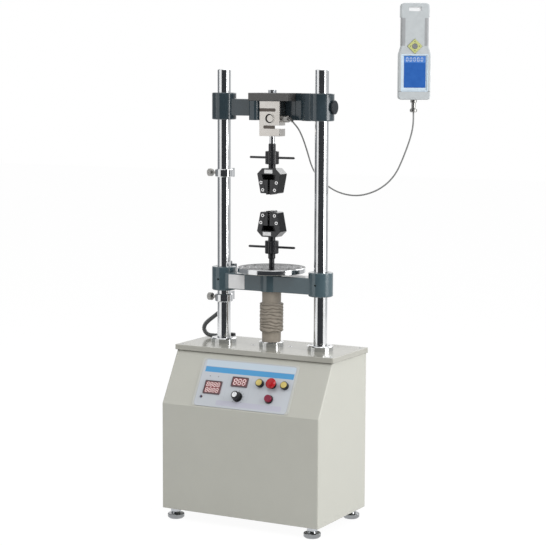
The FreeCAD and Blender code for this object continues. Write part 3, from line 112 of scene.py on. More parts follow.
def mottled(tree, place, grainMm, colours, low=0.35, high=0.65, detail=3.0):
    # noise of one real grain size, as a ramp between two close colours
    grain = addNode(tree, "ShaderNodeTexNoise", None,
                    {"Vector": place, "Scale": 1000 / grainMm, "Detail": detail, "Roughness": 0.6})
    ramp = addNode(tree, "ShaderNodeValToRGB", None, {"Fac": grain.outputs["Fac"]})
    ramp.color_ramp.elements[0].position = low
    ramp.color_ramp.elements[1].position = high
    ramp.color_ramp.elements[0].color = hexColour(colours[0])
    ramp.color_ramp.elements[1].color = hexColour(colours[1])
    return grain, ramp


def joinUp(tree, bsdf, colour, relief, depthMm, strength, edgeMm=0.0, rough=None):
    # colour, roughness between two limits, and relief over the small radius that handling leaves on an edge
    bump = addNode(tree, "ShaderNodeBump", None,
                   {"Strength": strength, "Distance": depthMm / 1000, "Height": relief.outputs["Fac"]})
    if edgeMm:
        edge = addNode(tree, "ShaderNodeBevel", {"samples": 4}, {"Radius": edgeMm / 1000})
        tree.links.new(edge.outputs["Normal"], bump.inputs["Normal"])
    if rough:
        cloud, low, high = rough
        spread = addNode(tree, "ShaderNodeMapRange", None, {"Value": cloud.outputs["Fac"], "From Min": 0.3,
                                                            "From Max": 0.7, "To Min": low, "To Max": high})
        tree.links.new(spread.outputs["Result"], bsdf.inputs["Roughness"])
    tree.links.new(colour, bsdf.inputs["Base Color"])
    tree.links.new(bump.outputs["Normal"], bsdf.inputs["Normal"])


def boxMask(tree, flat, across, up, cornerMm=0.3, softMm=0.15):
    # 1 inside a printed rectangle with round corners, given in millimetres, 0 outside
    middle = [-(across[0] + across[1]) / 2000, -(up[0] + up[1]) / 2000, 0]
    inner = [(across[1] - across[0]) / 2000 - cornerMm / 1000, (up[1] - up[0]) / 2000 - cornerMm / 1000, 1]
    moved = addNode(tree, "ShaderNodeVectorMath", {"operation": "ADD"}, {0: flat, 1: middle})
    size = addNode(tree, "ShaderNodeVectorMath", {"operation": "ABSOLUTE"}, {0: moved.outputs[0]})
    past = addNode(tree, "ShaderNodeVectorMath", {"operation": "SUBTRACT"}, {0: size.outputs[0], 1: inner})
    outside = addNode(tree, "ShaderNodeVectorMath", {"operation": "MAXIMUM"},
                      {0: past.outputs[0], 1: (0, 0, 0)})
    far = addNode(tree, "ShaderNodeVectorMath", {"operation": "LENGTH"}, {0: outside.outputs[0]})
    return addNode(tree, "ShaderNodeMapRange", None,
                   {"Value": far.outputs["Value"], "From Min": cornerMm / 1000,
                    "From Max": (cornerMm - softMm) / 1000, "To Min": 0.0, "To Max": 1.0}).outputs["Result"]


def enamel(name, colours, roughness, peelMm=1.6, peel=0.06, edgeMm=0.8, coat=0.0, gloss=0.5):
    # sprayed enamel on steel: even colour, faint orange peel in the reflections
    material, tree, bsdf, place = startFinish(name, {"Coat Weight": coat, "Coat Roughness": 0.08, "IOR": 1.5,
                                                     "Specular IOR Level": gloss})
    broad, ramp = mottled(tree, place, 60.0, colours)
    peelNoise = addNode(tree, "ShaderNodeTexNoise", None,
                        {"Vector": place, "Scale": 1000 / peelMm, "Detail": 2.0})
    joinUp(tree, bsdf, ramp.outputs["Color"], peelNoise, 0.4, peel, edgeMm,
           (broad, roughness - 0.04, roughness + 0.05))
    return material


def brightMetal(name, colours, roughness, lineMm=0.6, lines=0.05, axis="Z", edgeMm=0.4, smear=0.03):
    # ground, turned or plated metal: tool lines run round the part, across the chosen axis
    material, tree, bsdf, place = startFinish(name, {"Metallic": 1.0})
    stretch = {"Z": (0.02, 0.02, 1.0), "X": (1.0, 0.02, 0.02), "none": (1.0, 1.0, 1.0)}[axis]
    squeezed = addNode(tree, "ShaderNodeMapping", None, {"Vector": place, "Scale": stretch})
    toolNoise = addNode(tree, "ShaderNodeTexNoise", None,
                        {"Vector": squeezed.outputs["Vector"], "Scale": 1000 / lineMm, "Detail": 2.0})
    broad, ramp = mottled(tree, place, 25.0, colours)
    joinUp(tree, bsdf, ramp.outputs["Color"], toolNoise, 0.1, lines, edgeMm,
           (broad, roughness, roughness + smear))
    return material


def facedSteel(name, colours, roughness, centre, ringMm, rings):
    # a disc faced on the lathe: rings round its centre, with darker handling marks
    material, tree, bsdf, place = startFinish(name, {"Metallic": 1.0})
    centred = addNode(tree, "ShaderNodeMapping", None,
                      {"Vector": place, "Location": [-c for c in mm(*centre)]})
    wave = addNode(tree, "ShaderNodeTexWave", {"wave_type": "RINGS", "rings_direction": "Z"},
                   {"Vector": centred.outputs["Vector"], "Scale": 1000 / ringMm / 20 * math.pi})
    stains, ramp = mottled(tree, place, 7.0, colours, 0.38, 0.62, 4.0)
    joinUp(tree, bsdf, ramp.outputs["Color"], wave, 0.3, rings, 0.3, (stains, roughness, roughness + 0.14))
    return material


def moulded(name, colours, roughness, grainMm=0.5, grain=0.1, edgeMm=0.5, glow=None):
    # injection moulded plastic or rubber: a fine spark-eroded grain
    shader = {"IOR": 1.46}
    if glow:
        shader["Emission Color"] = hexColour(glow[0])
        shader["Emission Strength"] = glow[1]
    material, tree, bsdf, place = startFinish(name, shader)
    broad, ramp = mottled(tree, place, 12.0, colours)
    fine = addNode(tree, "ShaderNodeTexNoise", None,
                   {"Vector": place, "Scale": 1000 / grainMm, "Detail": 1.0})
    joinUp(tree, bsdf, ramp.outputs["Color"], fine, 0.1, grain, edgeMm,
           (broad, roughness - 0.03, roughness + 0.05))
    return material


def printedOverlay(name, colours, roughness, origin, tilt, inks):
    # polyester film printed on its back: flat inks under one even satin surface
    material, tree, bsdf, place = startFinish(name, {"IOR": 1.5, "Roughness": roughness})
    flat = addNode(tree, "ShaderNodeMapping", {"vector_type": "TEXTURE"},
                   {"Vector": place, "Location": mm(*origin), "Rotation": (tilt, 0, 0)})
    colour = mottled(tree, place, 45.0, colours)[1].outputs["Color"]
    for ink, across, up, corner in inks:
        mask = boxMask(tree, flat.outputs["Vector"], across, up, corner)
        mix = addNode(tree, "ShaderNodeMix", {"data_type": "RGBA"}, {0: mask, 6: colour, 7: hexColour(ink)})
        colour = mix.outputs[2]
    fine = addNode(tree, "ShaderNodeTexNoise", None, {"Vector": place, "Scale": 1000 / 0.4, "Detail": 1.0})
    joinUp(tree, bsdf, colour, fine, 0.1, 0.04, 0.4)
    return material


def coatedCloth(name, colours, roughness, creaseShadeColour):
    # rubber coated cloth of the bellows: woven ground, and painted shade darkening the creases
    material, tree, bsdf, place = startFinish(name, {"Sheen Weight": 0.2, "IOR": 1.45})
    weave = addNode(tree, "ShaderNodeTexNoise", None, {"Vector": place, "Scale": 1000 / 0.9, "Detail": 1.0})
    broad, ramp = mottled(tree, place, 9.0, colours)
    crease = addNode(tree, "ShaderNodeAttribute", {"attribute_name": "crease"})
    creaseShaded = addNode(tree, "ShaderNodeMix", {"data_type": "RGBA"},
                    {0: crease.outputs["Fac"], 6: ramp.outputs["Color"], 7: hexColour(creaseShadeColour)})
    joinUp(tree, bsdf, creaseShaded.outputs[2], weave, 0.2, 0.35, rough=(broad, roughness, roughness + 0.13))
    return material


finishTable = {
    # powder coat and enamel: matt body colour, soft highlights, faint orange peel
    "cabinetPowderCoat": (enamel, ("#BFBFB6", "#C1C1B8"), 0.40, {"peelMm": 1.2, "peel": 0.10, "edgeMm": 1.2}),
    "deckEnamel": (enamel, ("#ABAAA1", "#AEADA4"), 0.22,
                   {"peelMm": 2.5, "peel": 0.01, "edgeMm": 1.0, "coat": 0.15}),
    "slateEnamel": (enamel, ("#43555C", "#4B5D64"), 0.16,
                    {"peelMm": 3.2, "peel": 0.12, "edgeMm": 1.6, "coat": 0.6}),
    # a darker copy of the slate enamel: painted shade, as the upper crosshead wears the same paint as the
    # lower one
    "darkSlateEnamel": (enamel, ("#2B383E", "#334047"), 0.20,
                        {"peelMm": 3.2, "peel": 0.14, "edgeMm": 1.6, "coat": 0.6}),
    "greyEnamel": (enamel, ("#51504F", "#585756"), 0.36, {"peelMm": 1.5, "peel": 0.10}),
    # plated, ground and machined steel: mirror to satin, with the lines of the tool
    "hardChrome": (brightMetal, ("#DFE0E1", "#E8E9EA"), 0.11, {"lines": 0.002, "edgeMm": 0, "smear": 0.02}),
    "dullChrome": (brightMetal, ("#8D8F91", "#9C9EA0"), 0.14, {"lines": 0.02}),
    "groundSteel": (brightMetal, ("#C2C2C0", "#CDCCCA"), 0.22, {"lineMm": 0.5, "lines": 0.08}),
    "satinNickel": (brightMetal, ("#9E9D9A", "#AAA9A6"), 0.36, {"lineMm": 0.5, "lines": 0.06}),
    "tableSteel": (facedSteel, ("#121416", "#4A4C4F"), 0.20,
                   {"centre": (0, 33, 554), "ringMm": 1.6, "rings": 0.5}),
    "zincPlate": (brightMetal, ("#B9BCC0", "#C8CACC"), 0.28, {"lineMm": 0.7, "lines": 0.08, "axis": "none"}),
    "brightZinc": (brightMetal, ("#F1F1F1", "#F7F7F7"), 0.14, {"lineMm": 0.7, "lines": 0.04, "axis": "none"}),
    "machinedNickel": (brightMetal, ("#DAD5CF", "#E2DED9"), 0.26,
                       {"lineMm": 0.4, "lines": 0.10, "axis": "X"}),
    # blackened steel: thin oil-filled oxide, satin where it was ground; a darker, duller copy on the grips'
    # side faces is painted shade
    "blackOxide": (enamel, ("#1B1C1F", "#26272A"), 0.24,
                   {"peelMm": 0.8, "peel": 0.10, "edgeMm": 0.7, "coat": 0.25}),
    "dullOxide": (enamel, ("#101113", "#17181A"), 0.42,
                  {"peelMm": 0.8, "peel": 0.14, "edgeMm": 0.7, "gloss": 0.15}),
    # the crease colour is painted shade in the folds of the bellows
    "bellowsCloth": (coatedCloth, ("#948C80", "#9F968A"), 0.62, {"creaseShadeColour": "#3F382F"}),
    # moulded plastics: body colour with a fine eroded grain
    "blackAbs": (moulded, ("#101113", "#17181A"), 0.32, {}),
    "slateAbs": (moulded, ("#141C22", "#1A232A"), 0.5, {}),
    "greyAbs": (moulded, ("#75777A", "#7F8184"), 0.40, {}),
    "yellowAbs": (moulded, ("#CBB868", "#D5C376"), 0.30, {}),
    "redAbs": (moulded, ("#A50F18", "#B0161F"), 0.20, {}),
    "crimsonAbs": (moulded, ("#7C1532", "#871A39"), 0.24, {}),
    "displayFrameAbs": (moulded, ("#54464A", "#5E4F53"), 0.30, {}),
    "smokedWindow": (moulded, ("#86484B", "#905154"), 0.18, {"grainMm": 0.6, "grain": 0.02}),
    "redSegments": (moulded, ("#EBD6D4", "#F0DCDA"), 0.4, {"glow": ("#FFB4AC", 0.08)}),
    "lampLens": (moulded, ("#3E4C68", "#46557A"), 0.12, {"grainMm": 0.6, "grain": 0.02}),
    "spunAluminium": (brightMetal, ("#D6D8DB", "#E2E4E6"), 0.24,
                      {"lineMm": 0.3, "lines": 0.06, "axis": "none"}),
    "whiteLabel": (moulded, ("#E4E5E6", "#ECECEC"), 0.42, {"grainMm": 0.3, "grain": 0.04}),
    "pottingResin": (moulded, ("#5A524D", "#665D57"), 0.5, {}),
    "blackInk": (moulded, ("#1C1D20", "#232427"), 0.45, {"grainMm": 0.4, "grain": 0.03}),
    "cableJacket": (moulded, ("#7F807F", "#898A89"), 0.45, {}),
    "hosePolyamide": (moulded, ("#565859", "#606263"), 0.42, {}),
    "gaugeAbs": (moulded, ("#B4B9BB", "#BABFC1"), 0.36, {}),
    "gaugeGripAbs": (moulded, ("#989A9C", "#9EA0A2"), 0.42, {}),
    "gaugeFascia": (moulded, ("#C4D4E1", "#CADAE6"), 0.28, {"grainMm": 0.4, "grain": 0.03}),
    "screenGlass": (moulded, ("#2B5AA2", "#2F60A9"), 0.15,
                    {"grainMm": 0.6, "grain": 0.01, "glow": ("#2E5FC0", 0.05)}),
    "screenBand": (moulded, ("#4876BC", "#4F7EC3"), 0.15,
                   {"grainMm": 0.6, "grain": 0.01, "glow": ("#5E90DC", 0.05)}),
    "oliveSilicone": (moulded, ("#B4B877", "#BEC184"), 0.5, {}),
    "beltRubber": (moulded, ("#141414", "#1B1B1B"), 0.6, {}),
    "boardLaminate": (moulded, ("#1F4A2C", "#275535"), 0.4, {}),
    # back-printed polyester: flat inks, one satin surface
    "printedFilm": (printedOverlay, ("#C2C3BE", "#C5C6C1"), 0.3, {
        "origin": (0, -113.5, 257.5), "tilt": math.radians(59.76),
        # colour, limits across, limits up and corner radius of each printed field, in millimetres
        "inks": [("#AFB4B8", (-114, 114), (3, 112.6), 9.0), ("#C3C8CE", (-113, 113), (4, 111.6), 8.0),
                 ("#C4D2DE", (-108, 112), (96, 110), 2.0), ("#4B9BD0", (-107, 111), (82.3, 95), 0.3),
                 ("#BFC0CD", (-60, 100), (8, 20), 4.0), ("#AEB3BC", (12.4, 12.9), (22, 78), 0.25),
                 ("#AEB3BC", (-44.6, -44.1), (22, 78), 0.25)]}),
}
finishes = {name: maker(name, colours, roughness, **rest)
            for name, (maker, colours, roughness, rest) in finishTable.items()}
print("finishes:", len(finishes))

nodeFinish = {
    "cabinetPowderCoat": ["cabinet_shell", "rear_cover"],
    "deckEnamel": ["top_plate"],
    "slateEnamel": ["lower_crosshead"],
    # upper crosshead and limit switch in the darker copy of the slate enamel, which is painted shade
    "darkSlateEnamel": ["upper_crosshead", "limit_switch"],
    "slateAbs": ["clamp_knob"],
    "greyEnamel": ["sensor_plate", "drive_motor", "bearing_housing"],
    "hardChrome": ["left_column", "right_column", "test_table", "deck_flanges", "upper_stop_collar",
                   "lower_stop_collar"],
    "dullChrome": ["foot_front_left", "foot_front_right", "foot_rear_left", "foot_rear_right",
                   "limit_plunger"],
    "groundSteel": ["motor_pulley", "drive_nut", "nut_bearings", "crosshead_bushes", "lead_screw"],
    "satinNickel": ["cell_connector", "gauge_connector", "upper_stop_screw", "lower_stop_screw"],
    "zincPlate": ["fasteners", "motor_bracket"],
    "machinedNickel": ["load_cell"],
    "blackOxide": ["upper_grip_body", "upper_grip_collar", "lower_grip_body", "lower_grip_collar",
                   "upper_jaw_left", "upper_jaw_right", "lower_jaw_left", "lower_jaw_right"],
    "bellowsCloth": ["bellows"],
    "blackAbs": ["switch_housings", "speed_knob", "power_inlet", "deck_gland"],
    "hosePolyamide": ["limit_conduit"],
    "printedFilm": ["control_panel"],
    "displayFrameAbs": ["panel_displays"],
    "yellowAbs": ["down_button", "up_button"],
    "redAbs": ["stop_button"],
    "crimsonAbs": ["power_button"],
    "cableJacket": ["sensor_cord"],
    "gaugeAbs": ["gauge_front_shell", "gauge_back_shell"],
    "oliveSilicone": ["gauge_arrow_pad"],
    "greyAbs": ["gauge_middle_key"],
    "beltRubber": ["drive_belt"],
    "boardLaminate": ["control_electronics"],
}
for finish, names in nodeFinish.items():
    for name in names:
        mesh = nodes[name].data
        mesh.materials.clear()
        mesh.materials.append(finishes[finish])
        mesh.polygons.foreach_set("material_index", [0] * len(mesh.polygons))

# flat working frames: u to the right, v up the face, w out of it
slopePlace = Matrix.Translation(mm(0, -113.5, 257.5)) @ Matrix.Rotation(math.radians(59.76), 4, "X")
gaugePlace = (Matrix.Translation(mm(328.5, 45, 922)) @ Matrix.Rotation(math.radians(28.5), 4, "Z")
              @ Matrix.Rotation(math.radians(90), 4, "X"))
beamPlace = Matrix.Translation(mm(0, 11, 0)) @ Matrix.Rotation(math.radians(90), 4, "X")
gripPlace = Matrix.Translation(mm(0, 17.5, 0)) @ Matrix.Rotation(math.radians(90), 4, "X")


def paintFaces(name, finish, place, test):
    # a second finish on the faces of a node whose middle, in the frame's millimetres, passes the test
    mesh = nodes[name].data
    back = place.inverted()
    turnBack = back.to_3x3()
    mesh.materials.append(finishes[finish])
    slot = len(mesh.materials) - 1
    count = 0
    for face in mesh.polygons:
        if test(back @ face.center * 1000, turnBack @ face.normal):
            face.material_index = slot
            count += 1
    print("painted", name, finish, count)


def near(spot, places, radius):
    return any(math.hypot(spot.x - x, spot.y - y) < radius for x, y in places)


def gripRing(screws):
    # the flat ring of each cap screw in a grip's front and back face, without its socket
    spots = [(side * x, z) for side in (-1, 1) for x, z in screws]
    return lambda p, n: (near(p, spots, 3.56) and not near(p, spots, 1.55)
                         and (-2.5 < p.z < 0.4 or -33.4 < p.z < -28.5))


worldPlace = Matrix.Identity(4)
paints = [
    # faced top and painted spigot of the test table, the spigot in the darker slate enamel that is painted
    # shade; nut on the sensor plate
    ("test_table", "tableSteel", worldPlace, lambda p, n: p.z > 553.9 and math.hypot(p.x, p.y - 33) < 73.5),
    ("test_table", "darkSlateEnamel", worldPlace, lambda p, n: p.z < 543.1),
    ("sensor_plate", "zincPlate", worldPlace, lambda p, n: p.z > 933.6),
    # darker side faces of the grips as painted shade, their screw heads, chrome stud of the upper one
    ("upper_grip_body", "dullOxide", gripPlace, lambda p, n: abs(n.x) > 0.8 and abs(p.x) > 15),
    ("upper_grip_body", "brightZinc", gripPlace, gripRing(((19.0, 739.6), (14.6, 723.6)))),
    ("lower_grip_body", "dullOxide", gripPlace, lambda p, n: abs(n.x) > 0.8 and abs(p.x) > 15),
    ("lower_grip_body", "brightZinc", gripPlace, gripRing(((19.0, 652.0), (14.6, 668.0)))),
    ("upper_grip_body", "hardChrome", worldPlace, lambda p, n: p.z > 824.4),
    # windows and lamp of the panel, cap of the knob
    ("panel_displays", "smokedWindow", slopePlace, lambda p, n: 2.3 < p.z < 2.5 and p.x > -95),
    ("panel_displays", "lampLens", slopePlace, lambda p, n: p.z > 0.9 and p.x < -99),
    ("speed_knob", "spunAluminium", slopePlace, lambda p, n: p.z > 17.8 and near(p, [(-10, 31)], 6.05)),
    # screen recess and strap slot of the gauge
    ("gauge_front_shell", "gaugeFascia", gaugePlace, lambda p, n: 15.3 < p.z < 15.5 and 19 < p.y < 93),
    ("gauge_front_shell", "whiteLabel", gaugePlace, lambda p, n: 14.9 < p.z < 15.1 and 181 < p.y < 191),
]
# ground ends of the jaws, side grips and seam of the gauge
paints += [(f"{end}_jaw_{side}", "groundSteel", worldPlace, lambda p, n: abs(n.z) > 0.7)
           for end in ("upper", "lower") for side in ("left", "right")]
for shell in ("gauge_front_shell", "gauge_back_shell"):
    paints += [(shell, "gaugeGripAbs", gaugePlace,
                lambda p, n: abs(p.x) > 25.9 and 112 < p.y < 168 and p.z < 16.9),
               (shell, "greyAbs", gaugePlace, lambda p, n: 16.69 < p.y < 17.51)]
for name, finish, place, test in paints:
    paintFaces(name, finish, place, test)
print("frame painted")


# fitted to the cabinet's edges and the columns of the photograph
view = {"spot": (1799.20, -3269.35, 972.45), "lens": 113.82, "sensor": 36.0,
        "right": (0.87828, 0.47813, 0.00380), "up": (-0.05785, 0.09836, 0.99347),
        "forward": (-0.47464, 0.87276, -0.11405)}
camera = bpy.data.objects.new("photoCamera", bpy.data.cameras.new("photoCamera"))
bpy.context.scene.collection.objects.link(camera)
camera.data.lens = view["lens"]
camera.data.sensor_width = view["sensor"]
camera.data.clip_end = 60.0
turn = Matrix((view["right"], view["up"], -Vector(view["forward"]))).transposed().to_4x4()
camera.matrix_world = Matrix.Translation(mm(*view["spot"])) @ turn
bpy.context.scene.camera = camera


def meshObject(name, mesh, finish=None, body=None):
    thing = bpy.data.objects.new(name, mesh)
    bpy.context.scene.collection.objects.link(thing)
    if finish:
        mesh.materials.append(finishes[finish])
    if body:
        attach(thing, body)
    return thing


def card(name, centre, facing, width, height, colour, strength=1.0):
    # flat lit sheet of the stage that faces a point
    normal = (Vector(facing) - Vector(centre)).normalized()
    side = normal.cross(Vector((0, 0, 1))).normalized()
    up = side.cross(normal).normalized()
    corners = [Vector(centre) + side * (sx * width / 2) + up * (sy * height / 2)
               for sx, sy in ((-1, -1), (1, -1), (1, 1), (-1, 1))]
    mesh = bpy.data.meshes.new(name)
    mesh.from_pydata([tuple(c) for c in corners], [], [(0, 1, 2, 3)])
    paper = bpy.data.materials.new(name + "Paper")
    tree = emptyTree(paper)
    glow = addNode(tree, "ShaderNodeEmission", None, {"Color": hexColour(colour), "Strength": strength})
    addNode(tree, "ShaderNodeOutputMaterial", None, {"Surface": glow.outputs["Emission"]})
    mesh.materials.append(paper)
    return meshObject(name, mesh)


def seenDirectly(tree):
    # 1 for rays that come from the camera, from polished metal or through glass
    path = addNode(tree, "ShaderNodeLightPath")
    glossy = addNode(tree, "ShaderNodeMath", {"operation": "ADD", "use_clamp": True},
                     {0: path.outputs["Is Camera Ray"], 1: path.outputs["Is Glossy Ray"]})
    return addNode(tree, "ShaderNodeMath", {"operation": "ADD", "use_clamp": True},
                   {0: glossy.outputs[0], 1: path.outputs["Is Transmission Ray"]}).outputs[0]


def buildStudio():
    studio = {"floorSize": 24.0, "paper": "#C9C9C9", "floorWhite": 0.86, "floorGlow": 1.10,
              "worldLevel": 0.56, "target": (0, 0, 0.55),
              "darkCard": {"away": 0.9, "side": 0.03, "width": 2.05, "height": 2.4, "colour": "#3A3C3F"},
              "sideCards": {"behind": 1.3, "apart": 2.8, "level": 1.6, "width": 3.6, "height": 5.0,
                            "colours": ("#C2C4C6", "#85888B")},
              "rimCard": {"spot": (0.5, 2.6, 2.3), "target": (0, 0, 0.75), "width": 2.4, "height": 1.3,
                          "colour": "#FFFFFF", "strength": 3.5},
              # place, width, height and watts of each soft box, all turned to the target
              "lamps": [("rightSoftbox", (2.7, -0.25, 1.3), 1.8, 2.2, 58.0),
                        ("leftSoftbox", (-2.8, -1.4, 1.8), 1.4, 2.2, 9.0),
                        ("frontFill", (0.2, -2.1, 3.2), 2.0, 1.6, 26.0),
                        ("topSoftbox", (0.2, 0.6, 3.0), 2.2, 1.8, 8.0)]}
    half = studio["floorSize"] / 2
    floorMesh = bpy.data.meshes.new("studioFloor")
    floorMesh.from_pydata([(-half, -half, 0), (half, -half, 0), (half, half, 0), (-half, half, 0)], [],
                          [(0, 1, 2, 3)])
    floor = meshObject("studioFloor", floorMesh)
    material = bpy.data.materials.new("studioPaper")
    tree = emptyTree(material)
    paper = addNode(tree, "ShaderNodeBsdfDiffuse", None, {"Color": hexColour(studio["paper"])})
    white = addNode(tree, "ShaderNodeEmission", None,
                    {"Color": (1, 1, 1, 1), "Strength": studio["floorGlow"]})
    share = addNode(tree, "ShaderNodeMath", {"operation": "MULTIPLY"},
                    {0: seenDirectly(tree), 1: studio["floorWhite"]})
    mix = addNode(tree, "ShaderNodeMixShader", None,
                  {0: share.outputs[0], 1: paper.outputs["BSDF"], 2: white.outputs["Emission"]})
    addNode(tree, "ShaderNodeOutputMaterial", None, {"Surface": mix.outputs[0]})
    floorMesh.materials.append(material)

    # cards that only polished metal and gloss see: dark in front, grey at both sides, bright high behind
    away = -Vector((*view["forward"][:2], 0)).normalized()
    across = away.cross(Vector((0, 0, 1)))
    dark = studio["darkCard"]
    spot = away * dark["away"] + across * dark["side"] + Vector((0, 0, dark["height"] / 2 + 0.02))
    cards = [card("darkCard", spot, spot - away, dark["width"], dark["height"], dark["colour"])]
    grey = studio["sideCards"]
    for k, sign in enumerate((-1, 1)):
        spot = -away * grey["behind"] + across * sign * grey["apart"] + Vector((0, 0, grey["level"]))
        cards.append(card(f"greyCard{k}", spot, (0, 0, grey["level"]), grey["width"], grey["height"],
                          grey["colours"][k]))
    rim = studio["rimCard"]
    cards.append(card("rimCard", rim["spot"], rim["target"], rim["width"], rim["height"], rim["colour"],
                      rim["strength"]))
    for thing in cards:
        for ray in ("camera", "diffuse", "shadow", "transmission", "volume_scatter"):
            setattr(thing, "visible_" + ray, False)

    world = bpy.data.worlds.new("studioWorld")
    bpy.context.scene.world = world
    tree = emptyTree(world)
    soft = addNode(tree, "ShaderNodeBackground", None,
                   {"Color": hexColour("#FDFDFD"), "Strength": studio["worldLevel"]})
    white = addNode(tree, "ShaderNodeBackground", None, {"Color": (1, 1, 1, 1), "Strength": 1.0})
    mix = addNode(tree, "ShaderNodeMixShader", None,
                  {0: seenDirectly(tree), 1: soft.outputs[0], 2: white.outputs[0]})
    addNode(tree, "ShaderNodeOutputWorld", None, {"Surface": mix.outputs[0]})

    for name, spot, width, height, power in studio["lamps"]:
        data = bpy.data.lights.new(name, "AREA")
        data.shape = "RECTANGLE"
        data.size = width
        data.size_y = height
        data.energy = power
        lamp = bpy.data.objects.new(name, data)
        bpy.context.scene.collection.objects.link(lamp)
        lamp.location = spot
        lamp.rotation_euler = (Vector(studio["target"]) - Vector(spot)).to_track_quat("-Z", "Y").to_euler()
    bpy.context.scene.view_settings.view_transform = "Standard"


buildStudio()
print("camera and studio set")


def routeCurve(name, points, kind="NURBS"):
    data = bpy.data.curves.new(name, "CURVE")
    data.dimensions = "3D"
    spline = data.splines.new(kind)
    spline.points.add(len(points) - 1)
    for point, place in zip(spline.points, points):
        point.co = (*mm(*place), 1.0)
    spline.order_u = 3
    spline.use_endpoint_u = True
    spline.resolution_u = 12
    thing = bpy.data.objects.new(name, data)
    bpy.context.scene.collection.objects.link(thing)
    return thing


def pathOf(curveObject):
    # the spline's own line, in order
    bpy.context.view_layer.update()
    evaluated = curveObject.evaluated_get(bpy.context.evaluated_depsgraph_get())
    mesh = bpy.data.meshes.new_from_object(evaluated)
    points = [v.co.copy() for v in mesh.vertices]
    bpy.data.meshes.remove(mesh)
    return points


def lengthOf(points):
    return sum((b - a).length for a, b in zip(points, points[1:]))


def startTree(name, inputs):
    # a node group that takes the inputs, each with its kind and first value, and gives one shape
    tree = bpy.data.node_groups.new(name, "GeometryNodeTree")
    for label, (kind, value) in inputs.items():
        socket = tree.interface.new_socket(name=label, in_out="INPUT", socket_type="NodeSocket" + kind)
        if value is not None:
            socket.default_value = value
    tree.interface.new_socket(name="Geometry", in_out="OUTPUT", socket_type="NodeSocketGeometry")
    return tree, addNode(tree, "NodeGroupInput")


def finishTree(tree, shape, finish, smooth=True):
    if smooth:
        shape = addNode(tree, "GeometryNodeSetShadeSmooth", None, {"Geometry": shape}).outputs["Geometry"]
    real = addNode(tree, "GeometryNodeRealizeInstances", None, {"Geometry": shape})
    painted = addNode(tree, "GeometryNodeSetMaterial", None,
                      {"Geometry": real.outputs["Geometry"], "Material": finishes[finish]})
    addNode(tree, "NodeGroupOutput", None, {"Geometry": painted.outputs["Geometry"]})


def ribbedTubeTree(name, finish):
    # follows a curve with alternate crests and valleys, then closes both ends
    tree, given = startTree(name, {"Route": ("Geometry", None), "Pitch": ("Float", 0.002),
                                   "Crest": ("Float", 0.005), "Valley": ("Float", 0.004),
                                   "Sides": ("Int", 20)})
    quarter = addNode(tree, "ShaderNodeMath", {"operation": "MULTIPLY"}, {0: given.outputs["Pitch"], 1: 0.25})
    even = addNode(tree, "GeometryNodeResampleCurve", {"mode": "LENGTH"},
                   {"Curve": given.outputs["Route"], "Length": quarter.outputs[0]})
    order = addNode(tree, "GeometryNodeInputIndex")
    phase = addNode(tree, "ShaderNodeMath", {"operation": "MULTIPLY"}, {0: order.outputs[0], 1: math.pi / 2})
    wave = addNode(tree, "ShaderNodeMath", {"operation": "COSINE"}, {0: phase.outputs[0]})
    radius = addNode(tree, "ShaderNodeMapRange", None,
                     {"Value": wave.outputs[0], "From Min": -1.0, "From Max": 1.0,
                      "To Min": given.outputs["Valley"], "To Max": given.outputs["Crest"]})
    ring = addNode(tree, "GeometryNodeCurvePrimitiveCircle", {"mode": "RADIUS"},
                   {"Resolution": given.outputs["Sides"], "Radius": 1.0})
    tube = addNode(tree, "GeometryNodeCurveToMesh", None,
                   {"Curve": even.outputs["Curve"], "Profile Curve": ring.outputs["Curve"],
                    "Scale": radius.outputs["Result"], "Fill Caps": True})
    finishTree(tree, tube.outputs["Mesh"], finish)
    return tree


